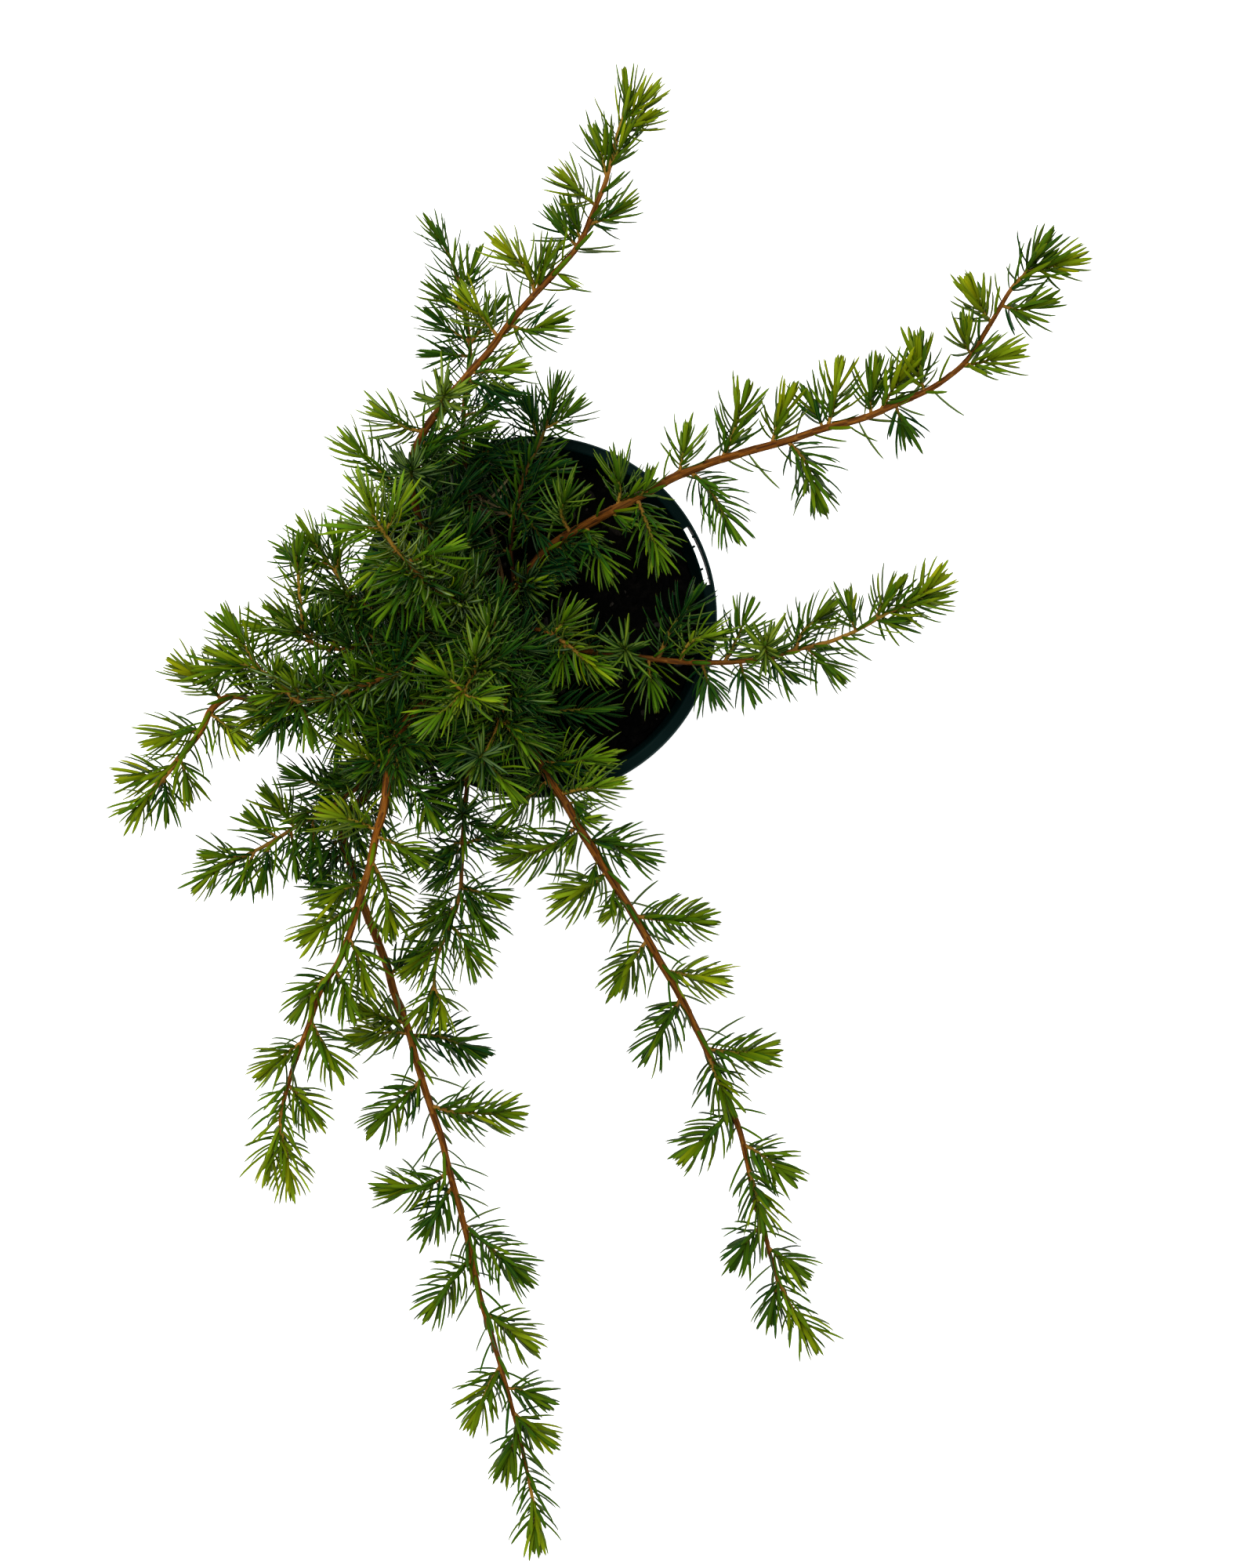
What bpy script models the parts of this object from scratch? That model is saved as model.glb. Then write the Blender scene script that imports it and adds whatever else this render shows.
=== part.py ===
"""Potted shore juniper: a young spreading juniper in a round plastic nursery pot.

Metres, +Z up. The origin is the centre of the pot's flat underside, on the
surface that the pot stands on. The plant is laid out on a plan grid: a top
view of the plant from one eye point above it, so that a stem that stands
higher covers more of the grid. at() turns a grid point and a height into a
place. Every woody stem is a tapered tube, and the leafy side shoots of each
stem are one closed envelope around it.
"""

import math

import bmesh
import bpy
import numpy as np
from mathutils import Vector

MM = 0.001

# ---- driving dimensions ----------------------------------------------------
POT_HEIGHT = 165 * MM
RIM_RADIUS = 82.5 * MM          # outside of the rolled rim
LEDGE_WIDTH = 5.4 * MM          # flat top of the rim, from the skirt inwards
WALL = 1.3 * MM
FLOOR = 2.2 * MM
BASE_RADIUS = 61.0 * MM         # outside, where the wall meets the floor
SKIRT_DEPTH = 12.0 * MM         # how far the turned-down rim reaches
SKIRT_THICK = 1.6 * MM
DRAIN_HOLES = 6
DRAIN_RADIUS = 6.0 * MM
DRAIN_CIRCLE = 45.0 * MM
TAG_SLOT_RADIUS = 79.45 * MM    # middle of the plant-label slot in the ledge
TAG_SLOT_WIDTH = 2.9 * MM
TAG_SLOT_FROM = 10.5            # degrees about the pot's axis, from +X
TAG_SLOT_TO = 31.0
TAG_TEETH_IN = (16.0, 24.0)      # degrees of the grip teeth on the inner edge
TAG_TEETH_OUT = (12.5, 27.0)     # and on the outer edge
TAG_TOOTH_HALF = 0.35            # degrees
TAG_TOOTH_DEEP = 1.1 * MM
SOIL_TOP = 143 * MM
GAP = 0.35 * MM                 # room kept between neighbouring pieces
POT_SEGMENTS = 48

# ---- plan grid -------------------------------------------------------------
GRID_AXIS = (684.1, 786.6)      # the pot's axis on the grid
GRID_EYE = (800.0, 1000.0)      # the point straight below the eye
GRID_UNIT = RIM_RADIUS / 231.1  # one grid unit at rim height
EYE_ABOVE_RIM = 900 * MM


def at(gx, gy, height_mm):
    """The place of a grid point at a height above the surface."""
    shrink = (EYE_ABOVE_RIM + POT_HEIGHT - height_mm * MM) / EYE_ABOVE_RIM
    eye_x = (GRID_EYE[0] - GRID_AXIS[0]) * GRID_UNIT
    eye_y = -(GRID_EYE[1] - GRID_AXIS[1]) * GRID_UNIT
    return Vector((
        eye_x + (gx - GRID_EYE[0]) * GRID_UNIT * shrink,
        eye_y - (gy - GRID_EYE[1]) * GRID_UNIT * shrink,
        height_mm * MM,
    ))


# ---- the plant's layout ----------------------------------------------------
# stem: name, base and tip radius in mm, then (grid x, grid y, height in mm).
STEMS = (
    ("northeast", 2.4, 0.8, ((645, 800, 166), (665, 745, 180), (700, 700, 188), (740, 674, 195), (780, 652, 200), (825, 628, 205), (860, 609, 208), (905, 591, 212), (955, 576, 216), (1005, 562, 220), (1050, 547, 223), (1100, 534, 226), (1145, 515, 229), (1187, 496, 231), (1215, 477, 233), (1237, 456, 234), (1257, 424, 236), (1273, 397, 238), (1290, 369, 239), (1306, 352, 240), (1322, 343, 241))),
    ("southeast", 2.4, 0.8, ((645, 800, 158), (652, 860, 171), (662, 905, 179), (683, 958, 185), (702, 995, 188), (722, 1025, 189), (745, 1065, 190), (770, 1105, 191), (795, 1145, 191), (820, 1187, 191), (843, 1228, 190), (865, 1265, 189), (885, 1305, 188), (903, 1342, 187), (925, 1395, 185), (943, 1440, 183), (953, 1480, 181), (963, 1530, 179), (977, 1578, 177), (990, 1625, 175), (1008, 1665, 173))),
    ("south", 2.5, 0.8, ((645, 800, 153), (620, 835, 162), (575, 890, 170), (520, 955, 173), (465, 1015, 171), (438, 1060, 168), (450, 1110, 165), (470, 1170, 162), (493, 1230, 160), (505, 1272, 158), (520, 1310, 157), (532, 1355, 155), (547, 1403, 154), (562, 1448, 152), (575, 1500, 150), (588, 1545, 149), (600, 1595, 147), (613, 1655, 145), (628, 1705, 143), (645, 1765, 141), (660, 1820, 139), (670, 1865, 137), (681, 1918, 135))),
    ("southwest", 2.3, 0.8, ((645, 800, 172), (605, 835, 183), (560, 880, 195), (515, 925, 204), (498, 965, 209), (495, 985, 210), (490, 1030, 209), (480, 1065, 207), (472, 1105, 204), (458, 1150, 201), (445, 1195, 198), (430, 1230, 195), (410, 1262, 192), (395, 1305, 188), (380, 1345, 184), (365, 1393, 180), (358, 1430, 177), (361, 1455, 175))),
    ("north", 2.2, 0.8, ((645, 800, 178), (590, 745, 194), (548, 685, 207), (527, 630, 214), (527, 585, 218), (540, 553, 221), (572, 508, 225), (597, 478, 228), (625, 447, 232), (650, 413, 236), (683, 375, 240), (715, 341, 244), (740, 310, 246), (757, 270, 249), (772, 234, 252), (786, 180, 256), (796, 148, 259))),
    ("east", 1.8, 0.8, ((645, 800, 161), (690, 815, 172), (750, 830, 179), (820, 839, 183), (880, 845, 186), (940, 844, 190), (980, 838, 193), (1020, 828, 196), (1060, 818, 199), (1095, 803, 202), (1125, 786, 204), (1160, 768, 206))),
    ("west", 2.0, 0.8, ((645, 800, 169), (600, 822, 180), (520, 866, 193), (440, 897, 202), (380, 905, 208), (330, 895, 212), (295, 888, 214), (270, 905, 213), (258, 930, 210), (235, 960, 206), (210, 990, 202), (192, 1012, 199))),
    ("north_low", 1.7, 0.8, ((645, 800, 163), (610, 700, 179), (594, 600, 188), (592, 520, 192), (600, 450, 195), (592, 390, 198), (583, 350, 200), (570, 318, 202))),
    ("west_high", 1.5, 0.8, ((632, 800, 185), (580, 820, 198), (525, 848, 209), (470, 872, 218), (420, 889, 226), (378, 893, 231), (358, 870, 235), (335, 857, 238), (308, 846, 241))),
    ("west_low", 1.6, 0.9, ((640, 812, 157), (600, 858, 168), (530, 925, 177), (478, 985, 179), (425, 1028, 179), (385, 1050, 178.5), (345, 1075, 177), (310, 1093, 176), (285, 1105, 175))),
    ("midsouth", 1.6, 0.8, ((645, 812, 164), (632, 860, 175), (612, 925, 182), (598, 990, 184), (592, 1050, 183), (589, 1110, 182), (586, 1145, 180), (570, 1190, 178), (557, 1225, 176), (553, 1262, 174))),
    ("northwest_high", 1.5, 0.8, ((632, 797, 190), (588, 772, 210), (548, 744, 229), (525, 722, 240), (505, 700, 247), (487, 675, 252), (474, 652, 256))),
    ("northwest_low", 1.4, 0.8, ((640, 798, 175), (565, 788, 189), (505, 781, 200), (464, 771, 208), (445, 754, 214), (428, 730, 219), (410, 707, 223))),
    ("west_mid", 1.4, 0.7, ((636, 800, 181), (545, 815, 198), (474, 824, 209), (430, 828, 216), (402, 821, 221), (388, 805, 225), (384, 775, 229), (381, 742, 232), (380, 722, 234))),
    ("inner_north", 1.2, 0.7, ((650, 795, 169), (655, 745, 178), (652, 690, 184), (662, 630, 188), (673, 598, 189), (690, 562, 191), (701, 532, 193))),
    ("inner_east", 1.2, 0.8, ((652, 800, 172), (685, 803, 185), (705, 810, 193), (726, 824, 198), (745, 840, 202))),
    ("crown", 1.5, 0.9, ((634, 805, 191), (620, 838, 207), (602, 866, 219), (590, 886, 227))),
    ("crown_south", 1.4, 0.8, ((646, 808, 181), (650, 860, 194), (640, 910, 203), (626, 948, 209), (613, 967, 212))),
)

# side shoot: stem, then grid x and y where it leaves the stem, grid x and y of
# the end of its twig, its rise in mm, and optionally a grid point between.
SHOOTS = (
    ("northeast", 787, 648, 788, 607, 8, 791, 628), ("northeast", 865, 606, 873, 570, 5), ("northeast", 920, 584, 946, 520, 4, 935, 555), ("northeast", 985, 568, 1000, 523, 4, 990, 548),
    ("northeast", 748, 672, 768, 718, 4, 757, 695), ("northeast", 812, 636, 838, 702, 5, 828, 675), ("northeast", 880, 601, 928, 665, -3, 908, 628), ("northeast", 1005, 562, 1040, 625, -3, 1028, 590),
    ("northeast", 1055, 547, 1068, 490, 4, 1063, 515), ("northeast", 1050, 547, 1038, 520, 0), ("northeast", 1112, 530, 1115, 490, 3), ("northeast", 1122, 525, 1152, 478, 4, 1137, 500),
    ("northeast", 1180, 498, 1171, 458, 4), ("northeast", 1143, 518, 1152, 540, -5), ("northeast", 1228, 468, 1273, 455, 2, 1250, 463), ("northeast", 1240, 452, 1232, 432, 6),
    ("northeast", 1263, 412, 1246, 382, 5), ("northeast", 1282, 392, 1318, 390, -2, 1300, 396), ("northeast", 1306, 352, 1322, 325, 5), ("northeast", 1318, 345, 1353, 337, 1),
    ("northeast", 728, 682, 722, 634, 14, 716, 655),
    ("southeast", 690, 972, 757, 967, 7, 720, 973), ("southeast", 715, 1012, 765, 1003, 9), ("southeast", 757, 1068, 808, 1088, -3, 780, 1077), ("southeast", 775, 1110, 735, 1138, 7, 760, 1125),
    ("southeast", 812, 1168, 885, 1175, 0, 845, 1173), ("southeast", 822, 1200, 795, 1243, 4, 810, 1220), ("southeast", 850, 1237, 900, 1247, 4, 875, 1243), ("southeast", 868, 1275, 836, 1330, 0, 853, 1298),
    ("southeast", 901, 1338, 965, 1342, 0, 930, 1342), ("southeast", 905, 1347, 924, 1395, 7), ("southeast", 930, 1415, 888, 1462, 0, 908, 1443), ("southeast", 948, 1458, 995, 1493, 0, 970, 1472),
    ("southeast", 955, 1490, 970, 1545, 6), ("southeast", 972, 1562, 948, 1595, -2), ("southeast", 982, 1592, 1008, 1612, 3), ("southeast", 993, 1633, 987, 1665, -3),
    ("southeast", 1006, 1661, 1027, 1697, 0), ("southeast", 700, 995, 658, 1030, 5, 682, 1010), ("southeast", 738, 1052, 665, 1090, 3, 705, 1078), ("southeast", 660, 898, 762, 904, -3, 710, 906),
    ("south", 521, 1318, 470, 1320, 7), ("south", 516, 1305, 475, 1291, 12), ("south", 497, 1245, 520, 1222, 3), ("south", 525, 1320, 597, 1337, -4, 560, 1322), ("south", 537, 1376, 487, 1427, -2, 510, 1405),
    ("south", 550, 1410, 642, 1420, 0, 580, 1418), ("south", 573, 1492, 508, 1516, 0, 550, 1510), ("south", 578, 1512, 552, 1556, -4), ("south", 592, 1560, 655, 1618, 0, 625, 1590), ("south", 602, 1605, 558, 1660, 0, 583, 1625),
    ("south", 618, 1672, 663, 1705, 4, 642, 1690), ("south", 638, 1742, 610, 1797, 0, 623, 1768), ("south", 648, 1770, 680, 1780, 0), ("south", 656, 1800, 685, 1828, 0), ("south", 660, 1820, 648, 1860, 2),
    ("south", 681, 1915, 682, 1950, 0), ("south", 462, 1145, 415, 1127, -2),
    ("southwest", 496, 985, 455, 957, 6, 473, 970), ("southwest", 482, 1060, 432, 1040, 6, 455, 1048), ("southwest", 505, 948, 446, 902, 4, 470, 925), ("southwest", 456, 1158, 405, 1187, 0, 430, 1170),
    ("southwest", 466, 1125, 425, 1143, 3), ("southwest", 424, 1240, 390, 1278, 0, 402, 1260), ("southwest", 446, 1197, 464, 1245, 2), ("southwest", 474, 1098, 497, 1168, 2, 490, 1130),
    ("southwest", 480, 1068, 522, 1087, 4), ("southwest", 386, 1328, 350, 1357, 2), ("southwest", 398, 1300, 423, 1352, -2, 410, 1328), ("southwest", 370, 1385, 392, 1413, 0), ("southwest", 359, 1440, 345, 1478, 0),
    ("southwest", 361, 1452, 369, 1498, 2), ("southwest", 427, 1235, 445, 1275, -4), ("southwest", 496, 990, 548, 1035, -6, 530, 1003),
    ("north", 797, 146, 800, 125, 3), ("north", 793, 155, 818, 131, 5), ("north", 789, 170, 813, 158, 3), ("north", 777, 216, 792, 186, 5), ("north", 774, 226, 767, 192, 2), ("north", 760, 264, 733, 238, 6),
    ("north", 752, 287, 786, 270, -2), ("north", 741, 309, 733, 282, 3), ("north", 738, 314, 716, 287, -5), ("north", 683, 375, 652, 325, 7, 674, 347), ("north", 688, 370, 694, 338, 4), ("north", 648, 415, 695, 415, -3, 672, 421),
    ("north", 638, 431, 603, 392, 7, 622, 412), ("north", 600, 475, 645, 470, 4), ("north", 595, 482, 632, 497, -6), ("north", 566, 518, 569, 502, 22), ("north", 533, 568, 603, 548, -3), ("north", 541, 552, 497, 533, 9, 518, 546),
    ("north", 526, 612, 525, 599, 24), ("north", 528, 625, 455, 573, 1, 488, 604), ("north", 545, 678, 590, 618, -6), ("north", 575, 724, 602, 677, 4),
    ("east", 1158, 769, 1187, 749, 2), ("east", 1140, 778, 1178, 766, -4), ("east", 1118, 790, 1140, 792, -6), ("east", 1118, 789, 1134, 760, 3), ("east", 1093, 804, 1085, 782, 4), ("east", 1015, 829, 1045, 788, 5, 1025, 805),
    ("east", 1030, 826, 1056, 850, -3), ("east", 978, 838, 976, 822, 20), ("east", 985, 837, 1000, 856, -5), ("east", 945, 843, 953, 872, -5), ("east", 925, 845, 949, 793, 4, 940, 815), ("east", 895, 846, 905, 876, -6),
    ("east", 868, 843, 905, 811, 9, 880, 820), ("east", 828, 840, 832, 875, 2), ("east", 800, 836, 797, 827, 18), ("east", 840, 841, 888, 758, 2, 858, 790),
    ("west", 194, 1010, 176, 1030, -2), ("west", 284, 892, 243, 858, 6, 265, 872), ("west", 258, 928, 213, 941, 3), ("west", 268, 910, 297, 934, 3, 282, 920), ("west", 230, 966, 238, 994, -3), ("west", 218, 980, 180, 990, 0),
    ("west", 208, 992, 212, 1022, -3), ("west", 520, 866, 500, 834, 3),
    ("north_low", 590, 382, 601, 345, 1), ("north_low", 592, 398, 566, 378, 2), ("north_low", 599, 436, 563, 412, 0), ("north_low", 600, 455, 565, 452, -2), ("north_low", 600, 440, 626, 402, 2), ("north_low", 592, 530, 632, 512, 0),
    ("north_low", 594, 580, 640, 572, -3), ("north_low", 593, 545, 558, 562, -3), ("north_low", 571, 320, 560, 303, 0),
    ("west_high", 309, 846, 288, 838, 1), ("west_high", 330, 856, 297, 805, -6, 315, 828), ("west_high", 378, 893, 396, 926, -8), ("west_high", 374, 893, 345, 930, -14), ("west_high", 410, 890, 400, 857, -2), ("west_high", 320, 851, 275, 853, -5),
    ("west_low", 286, 1104, 267, 1118, 0), ("west_low", 376, 1056, 354, 1028, 3), ("west_low", 355, 1069, 333, 1053, 1), ("west_low", 308, 1094, 283, 1092, 3), ("west_low", 342, 1077, 337, 1110, -2), ("west_low", 325, 1086, 311, 1116, -2),
    ("west_low", 372, 1058, 376, 1092, -4), ("west_low", 398, 1044, 398, 1086, -4), ("west_low", 440, 1016, 385, 993, 2),
    ("midsouth", 592, 1045, 591, 1036, 12), ("midsouth", 590, 1085, 545, 1097, -3), ("midsouth", 591, 1078, 637, 1068, -4), ("midsouth", 587, 1130, 625, 1141, 1), ("midsouth", 586, 1145, 614, 1174, -1), ("midsouth", 583, 1155, 546, 1180, 0),
    ("midsouth", 574, 1180, 600, 1221, 0), ("midsouth", 565, 1200, 533, 1228, 0), ("midsouth", 553, 1260, 563, 1287, 3), ("midsouth", 553, 1258, 543, 1283, -1), ("midsouth", 597, 1000, 560, 1010, -2),
    ("northwest_high", 474, 653, 468, 632, 4), ("northwest_high", 490, 680, 507, 648, 0), ("northwest_high", 520, 717, 563, 704, -4), ("northwest_high", 506, 702, 476, 727, -8), ("northwest_high", 528, 726, 500, 772, -12),
    ("northwest_high", 533, 730, 547, 768, -10), ("northwest_high", 488, 677, 455, 672, -4),
    ("northwest_low", 411, 708, 398, 688, 4), ("northwest_low", 428, 729, 432, 692, 2), ("northwest_low", 446, 756, 408, 754, -3), ("northwest_low", 460, 768, 442, 798, -5), ("northwest_low", 420, 720, 383, 714, -3),
    ("west_mid", 380, 724, 379, 706, 3), ("west_mid", 387, 803, 362, 790, 3), ("west_mid", 400, 819, 338, 800, 0, 368, 808), ("west_mid", 425, 827, 422, 798, 3), ("west_mid", 418, 826, 420, 858, -4),
    ("inner_north", 701, 533, 706, 506, 2), ("inner_north", 697, 547, 722, 530, 0), ("inner_north", 689, 563, 677, 528, -3), ("inner_north", 673, 598, 640, 580, -4), ("inner_north", 668, 612, 700, 598, -3), ("inner_north", 656, 660, 630, 640, -3),
    ("inner_north", 652, 745, 684, 744, 8),
    ("inner_east", 744, 839, 760, 851, 3), ("inner_east", 703, 808, 722, 790, 5), ("inner_east", 722, 821, 716, 846, 1),
    ("crown", 605, 862, 607, 833, 6), ("crown", 590, 885, 614, 891, 4), ("crown", 591, 883, 560, 857, 3), ("crown", 589, 887, 556, 914, 3), ("crown", 620, 838, 622, 797, 10),
    ("crown_south", 613, 967, 645, 1000, 2, 630, 983), ("crown_south", 616, 962, 612, 968, 14), ("crown_south", 638, 916, 666, 950, 9), ("crown_south", 642, 902, 676, 898, 0),
)

TRUNK = (4.8, 3.2, ((655, 806, 128), (653, 804, 148), (650, 802, 166), (645, 800, 182), (634, 799, 196)))
DRY_TWIG = (1.0, 0.5, ((650, 785, 166), (636, 712, 177), (622, 660, 182), (612, 632, 185)))

NEEDLE_REACH = 10.5             # mm from the end of a twig to its needles' tips
SHOOT_RADIUS = 5.6              # mm, half the width of a leafy shoot's core
SLEEVE = 1.5                    # mm, foliage left around a main stem
BARE_LENGTH = 26.0              # mm of each stem next to the trunk with none

# ---- scene -----------------------------------------------------------------
for old in list(bpy.data.objects):
    bpy.data.objects.remove(old, do_unlink=True)

plant = bpy.data.collections.new("potted_shore_juniper")
bpy.context.scene.collection.children.link(plant)
cutters = bpy.data.collections.new("cutters")
bpy.context.scene.collection.children.link(cutters)


def material(name, colour, roughness, metallic=0.0):
    made = bpy.data.materials.new(name)
    made.use_nodes = True
    shader = made.node_tree.nodes["Principled BSDF"]
    shader.inputs["Base Color"].default_value = (*colour, 1.0)
    shader.inputs["Roughness"].default_value = roughness
    shader.inputs["Metallic"].default_value = metallic
    made.diffuse_color = (*colour, 1.0)
    return made


POT_PLASTIC = material("pot_plastic", (0.006, 0.016, 0.017), 0.42)
POTTING_MIX = material("potting_mix", (0.012, 0.010, 0.008), 0.95)
BARK = material("bark", (0.165, 0.068, 0.030), 0.75)
DRY = material("dry_twig", (0.13, 0.085, 0.05), 0.9)
GREENS = {
    "crown": (0.105, 0.185, 0.022), "northwest_high": (0.115, 0.195, 0.022),
    "north_low": (0.018, 0.055, 0.018), "west_low": (0.040, 0.085, 0.016),
    "midsouth": (0.045, 0.090, 0.018), "inner_north": (0.028, 0.070, 0.018),
}


def clearing(obj):
    """Marks a helper that shapes others and is no part of the object."""
    obj.hide_render = True
    obj.display_type = "WIRE"


def drop(obj):
    mesh = obj.data
    bpy.data.objects.remove(obj, do_unlink=True)
    if mesh.users == 0:
        bpy.data.meshes.remove(mesh)


def tube(name, points, radii, resolution=1):
    """A closed tube through points (metres), with a radius (metres) at each."""
    curve = bpy.data.curves.new(name, "CURVE")
    curve.dimensions = "3D"
    curve.bevel_depth = 1.0
    curve.bevel_resolution = resolution
    curve.use_fill_caps = True
    curve.twist_mode = "MINIMUM"
    spline = curve.splines.new("POLY")
    spline.points.add(len(points) - 1)
    for spot, place, radius in zip(spline.points, points, radii):
        spot.co = (*place, 1.0)
        spot.radius = radius
    holder = bpy.data.objects.new(name + "_curve", curve)
    cutters.objects.link(holder)
    clearing(holder)
    graph = bpy.context.evaluated_depsgraph_get()
    mesh = bpy.data.meshes.new_from_object(holder.evaluated_get(graph))
    mesh.name = name
    bm = bmesh.new()
    bm.from_mesh(mesh)
    bmesh.ops.remove_doubles(bm, verts=bm.verts, dist=1e-6)
    bmesh.ops.recalc_face_normals(bm, faces=bm.faces)
    bm.to_mesh(mesh)
    bm.free()
    made = bpy.data.objects.new(name, mesh)
    made.matrix_world = holder.matrix_world
    bpy.data.objects.remove(holder, do_unlink=True)
    bpy.data.curves.remove(curve)
    cutters.objects.link(made)
    clearing(made)
    return made


def combined(base, joins, cuts):
    """base with joins united and cuts taken away, as a new mesh."""
    for kind, others in (("UNION", joins), ("DIFFERENCE", cuts)):
        for other in others:
            step = base.modifiers.new(kind.lower(), "BOOLEAN")
            step.operation = kind
            step.solver = "EXACT"
            step.object = other
    graph = bpy.context.evaluated_depsgraph_get()
    mesh = bpy.data.meshes.new_from_object(base.evaluated_get(graph))
    return mesh


def largest_body(mesh):
    """Keeps the biggest closed body of a mesh, and clears thin leftovers."""
    bm = bmesh.new()
    bm.from_mesh(mesh)
    bmesh.ops.triangulate(bm, faces=bm.faces)
    bmesh.ops.remove_doubles(bm, verts=bm.verts, dist=4e-6)
    bmesh.ops.dissolve_degenerate(bm, edges=bm.edges, dist=2e-6)
    bmesh.ops.triangulate(bm, faces=bm.faces)
    unseen = set(bm.faces)
    bodies = []
    while unseen:
        first = unseen.pop()
        body, front = [first], [first]
        while front:
            face = front.pop()
            for edge in face.edges:
                for other in edge.link_faces:
                    if other in unseen:
                        unseen.remove(other)
                        body.append(other)
                        front.append(other)
        volume = sum(f.verts[0].co.dot(f.verts[1].co.cross(f.verts[2].co)) for f in body) / 6
        bodies.append((volume, body))
    bodies.sort(key=lambda entry: entry[0])
    extra = [face for _, body in bodies[:-1] for face in body]
    bmesh.ops.delete(bm, geom=extra, context="FACES")
    loose = [v for v in bm.verts if not v.link_faces]
    bmesh.ops.delete(bm, geom=loose, context="VERTS")
    bm.to_mesh(mesh)
    bm.free()
    return mesh


def keep(name, mesh, look, smooth=None):
    mesh.name = name
    mesh.materials.clear()
    mesh.materials.append(look)
    obj = bpy.data.objects.new(name, mesh)
    plant.objects.link(obj)
    if smooth is not None:
        mesh.shade_smooth()
        mesh.set_sharp_from_angle(angle=math.radians(smooth))
    return obj


# ---- nursery pot -----------------------------------------------------------
def screwed(name, profile, steps=POT_SEGMENTS, where=plant):
    """A turned solid from (radius, height) points, from the axis to the axis."""
    mesh = bpy.data.meshes.new(name)
    mesh.from_pydata([(r, 0.0, z) for r, z in profile], [(i, i + 1) for i in range(len(profile) - 1)], [])
    obj = bpy.data.objects.new(name, mesh)
    where.objects.link(obj)
    turn = obj.modifiers.new("turn", "SCREW")
    turn.steps = turn.render_steps = steps
    turn.use_merge_vertices = True
    turn.merge_threshold = 0.00005
    turn.use_smooth_shade = True
    return obj


wall_top = RIM_RADIUS - LEDGE_WIDTH + WALL      # outside of the wall under the ledge
slope = (wall_top - BASE_RADIUS) / (POT_HEIGHT - 4 * MM)


def wall_radius(z):
    """Outside radius of the tapered wall at a height."""
    return BASE_RADIUS + slope * max(0.0, z - 4 * MM)


ledge_under = POT_HEIGHT - 1.5 * MM
skirt_low = POT_HEIGHT - SKIRT_DEPTH
pot_profile = [
    (0.0, FLOOR),
    (BASE_RADIUS - 6.0 * MM, FLOOR),
    (BASE_RADIUS - 2.6 * MM, FLOOR + 1.0 * MM),
    (wall_radius(7 * MM) - WALL, 7 * MM),
    (wall_radius(60 * MM) - WALL, 60 * MM),
    (wall_radius(120 * MM) - WALL, 120 * MM),
    (RIM_RADIUS - LEDGE_WIDTH, POT_HEIGHT - 1.2 * MM),
    (RIM_RADIUS - LEDGE_WIDTH + 0.5 * MM, POT_HEIGHT - 0.3 * MM),
    (RIM_RADIUS - LEDGE_WIDTH + 1.3 * MM, POT_HEIGHT),
    (RIM_RADIUS - 1.4 * MM, POT_HEIGHT),
    (RIM_RADIUS - 0.5 * MM, POT_HEIGHT - 0.3 * MM),
    (RIM_RADIUS - 0.1 * MM, POT_HEIGHT - 1.1 * MM),
    (RIM_RADIUS, skirt_low),
    (RIM_RADIUS - SKIRT_THICK, skirt_low),
    (RIM_RADIUS - SKIRT_THICK - 0.2 * MM, ledge_under),
    (wall_top + 0.1 * MM, ledge_under),
    (wall_radius(120 * MM), 120 * MM),
    (wall_radius(60 * MM), 60 * MM),
    (BASE_RADIUS, 4 * MM),
    (BASE_RADIUS - 0.8 * MM, 1.2 * MM),
    (BASE_RADIUS - 2.4 * MM, 0.0),
    (0.0, 0.0),
]
pot = screwed("pot_blank", pot_profile, where=cutters)
clearing(pot)

holes = []
for i in range(DRAIN_HOLES):
    turn = math.tau * (i + 0.5) / DRAIN_HOLES
    bpy.ops.mesh.primitive_cylinder_add(
        vertices=16, radius=DRAIN_RADIUS, depth=12 * MM,
        location=(DRAIN_CIRCLE * math.cos(turn), DRAIN_CIRCLE * math.sin(turn), 1 * MM),
    )
    hole = bpy.context.active_object
    hole.name = f"drain_hole_{i + 1}"
    holes.append(hole)

# The label slot: an arc-shaped cutter with the small grip teeth left out of it.
slot_points, slot_faces = [], []
slot_turns = [TAG_SLOT_FROM + (TAG_SLOT_TO - TAG_SLOT_FROM) * i / 8 for i in range(9)]
for tooth in TAG_TEETH_IN + TAG_TEETH_OUT:
    slot_turns = [turn for turn in slot_turns if abs(turn - tooth) > 2 * TAG_TOOTH_HALF]
    slot_turns += [tooth - 1.6 * TAG_TOOTH_HALF, tooth - TAG_TOOTH_HALF, tooth + TAG_TOOTH_HALF, tooth + 1.6 * TAG_TOOTH_HALF]
slot_turns.sort()
slot_steps = len(slot_turns) - 1


def tooth_at(turn, teeth):
    return TAG_TOOTH_DEEP if any(abs(turn - tooth) < 1.1 * TAG_TOOTH_HALF for tooth in teeth) else 0.0


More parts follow.
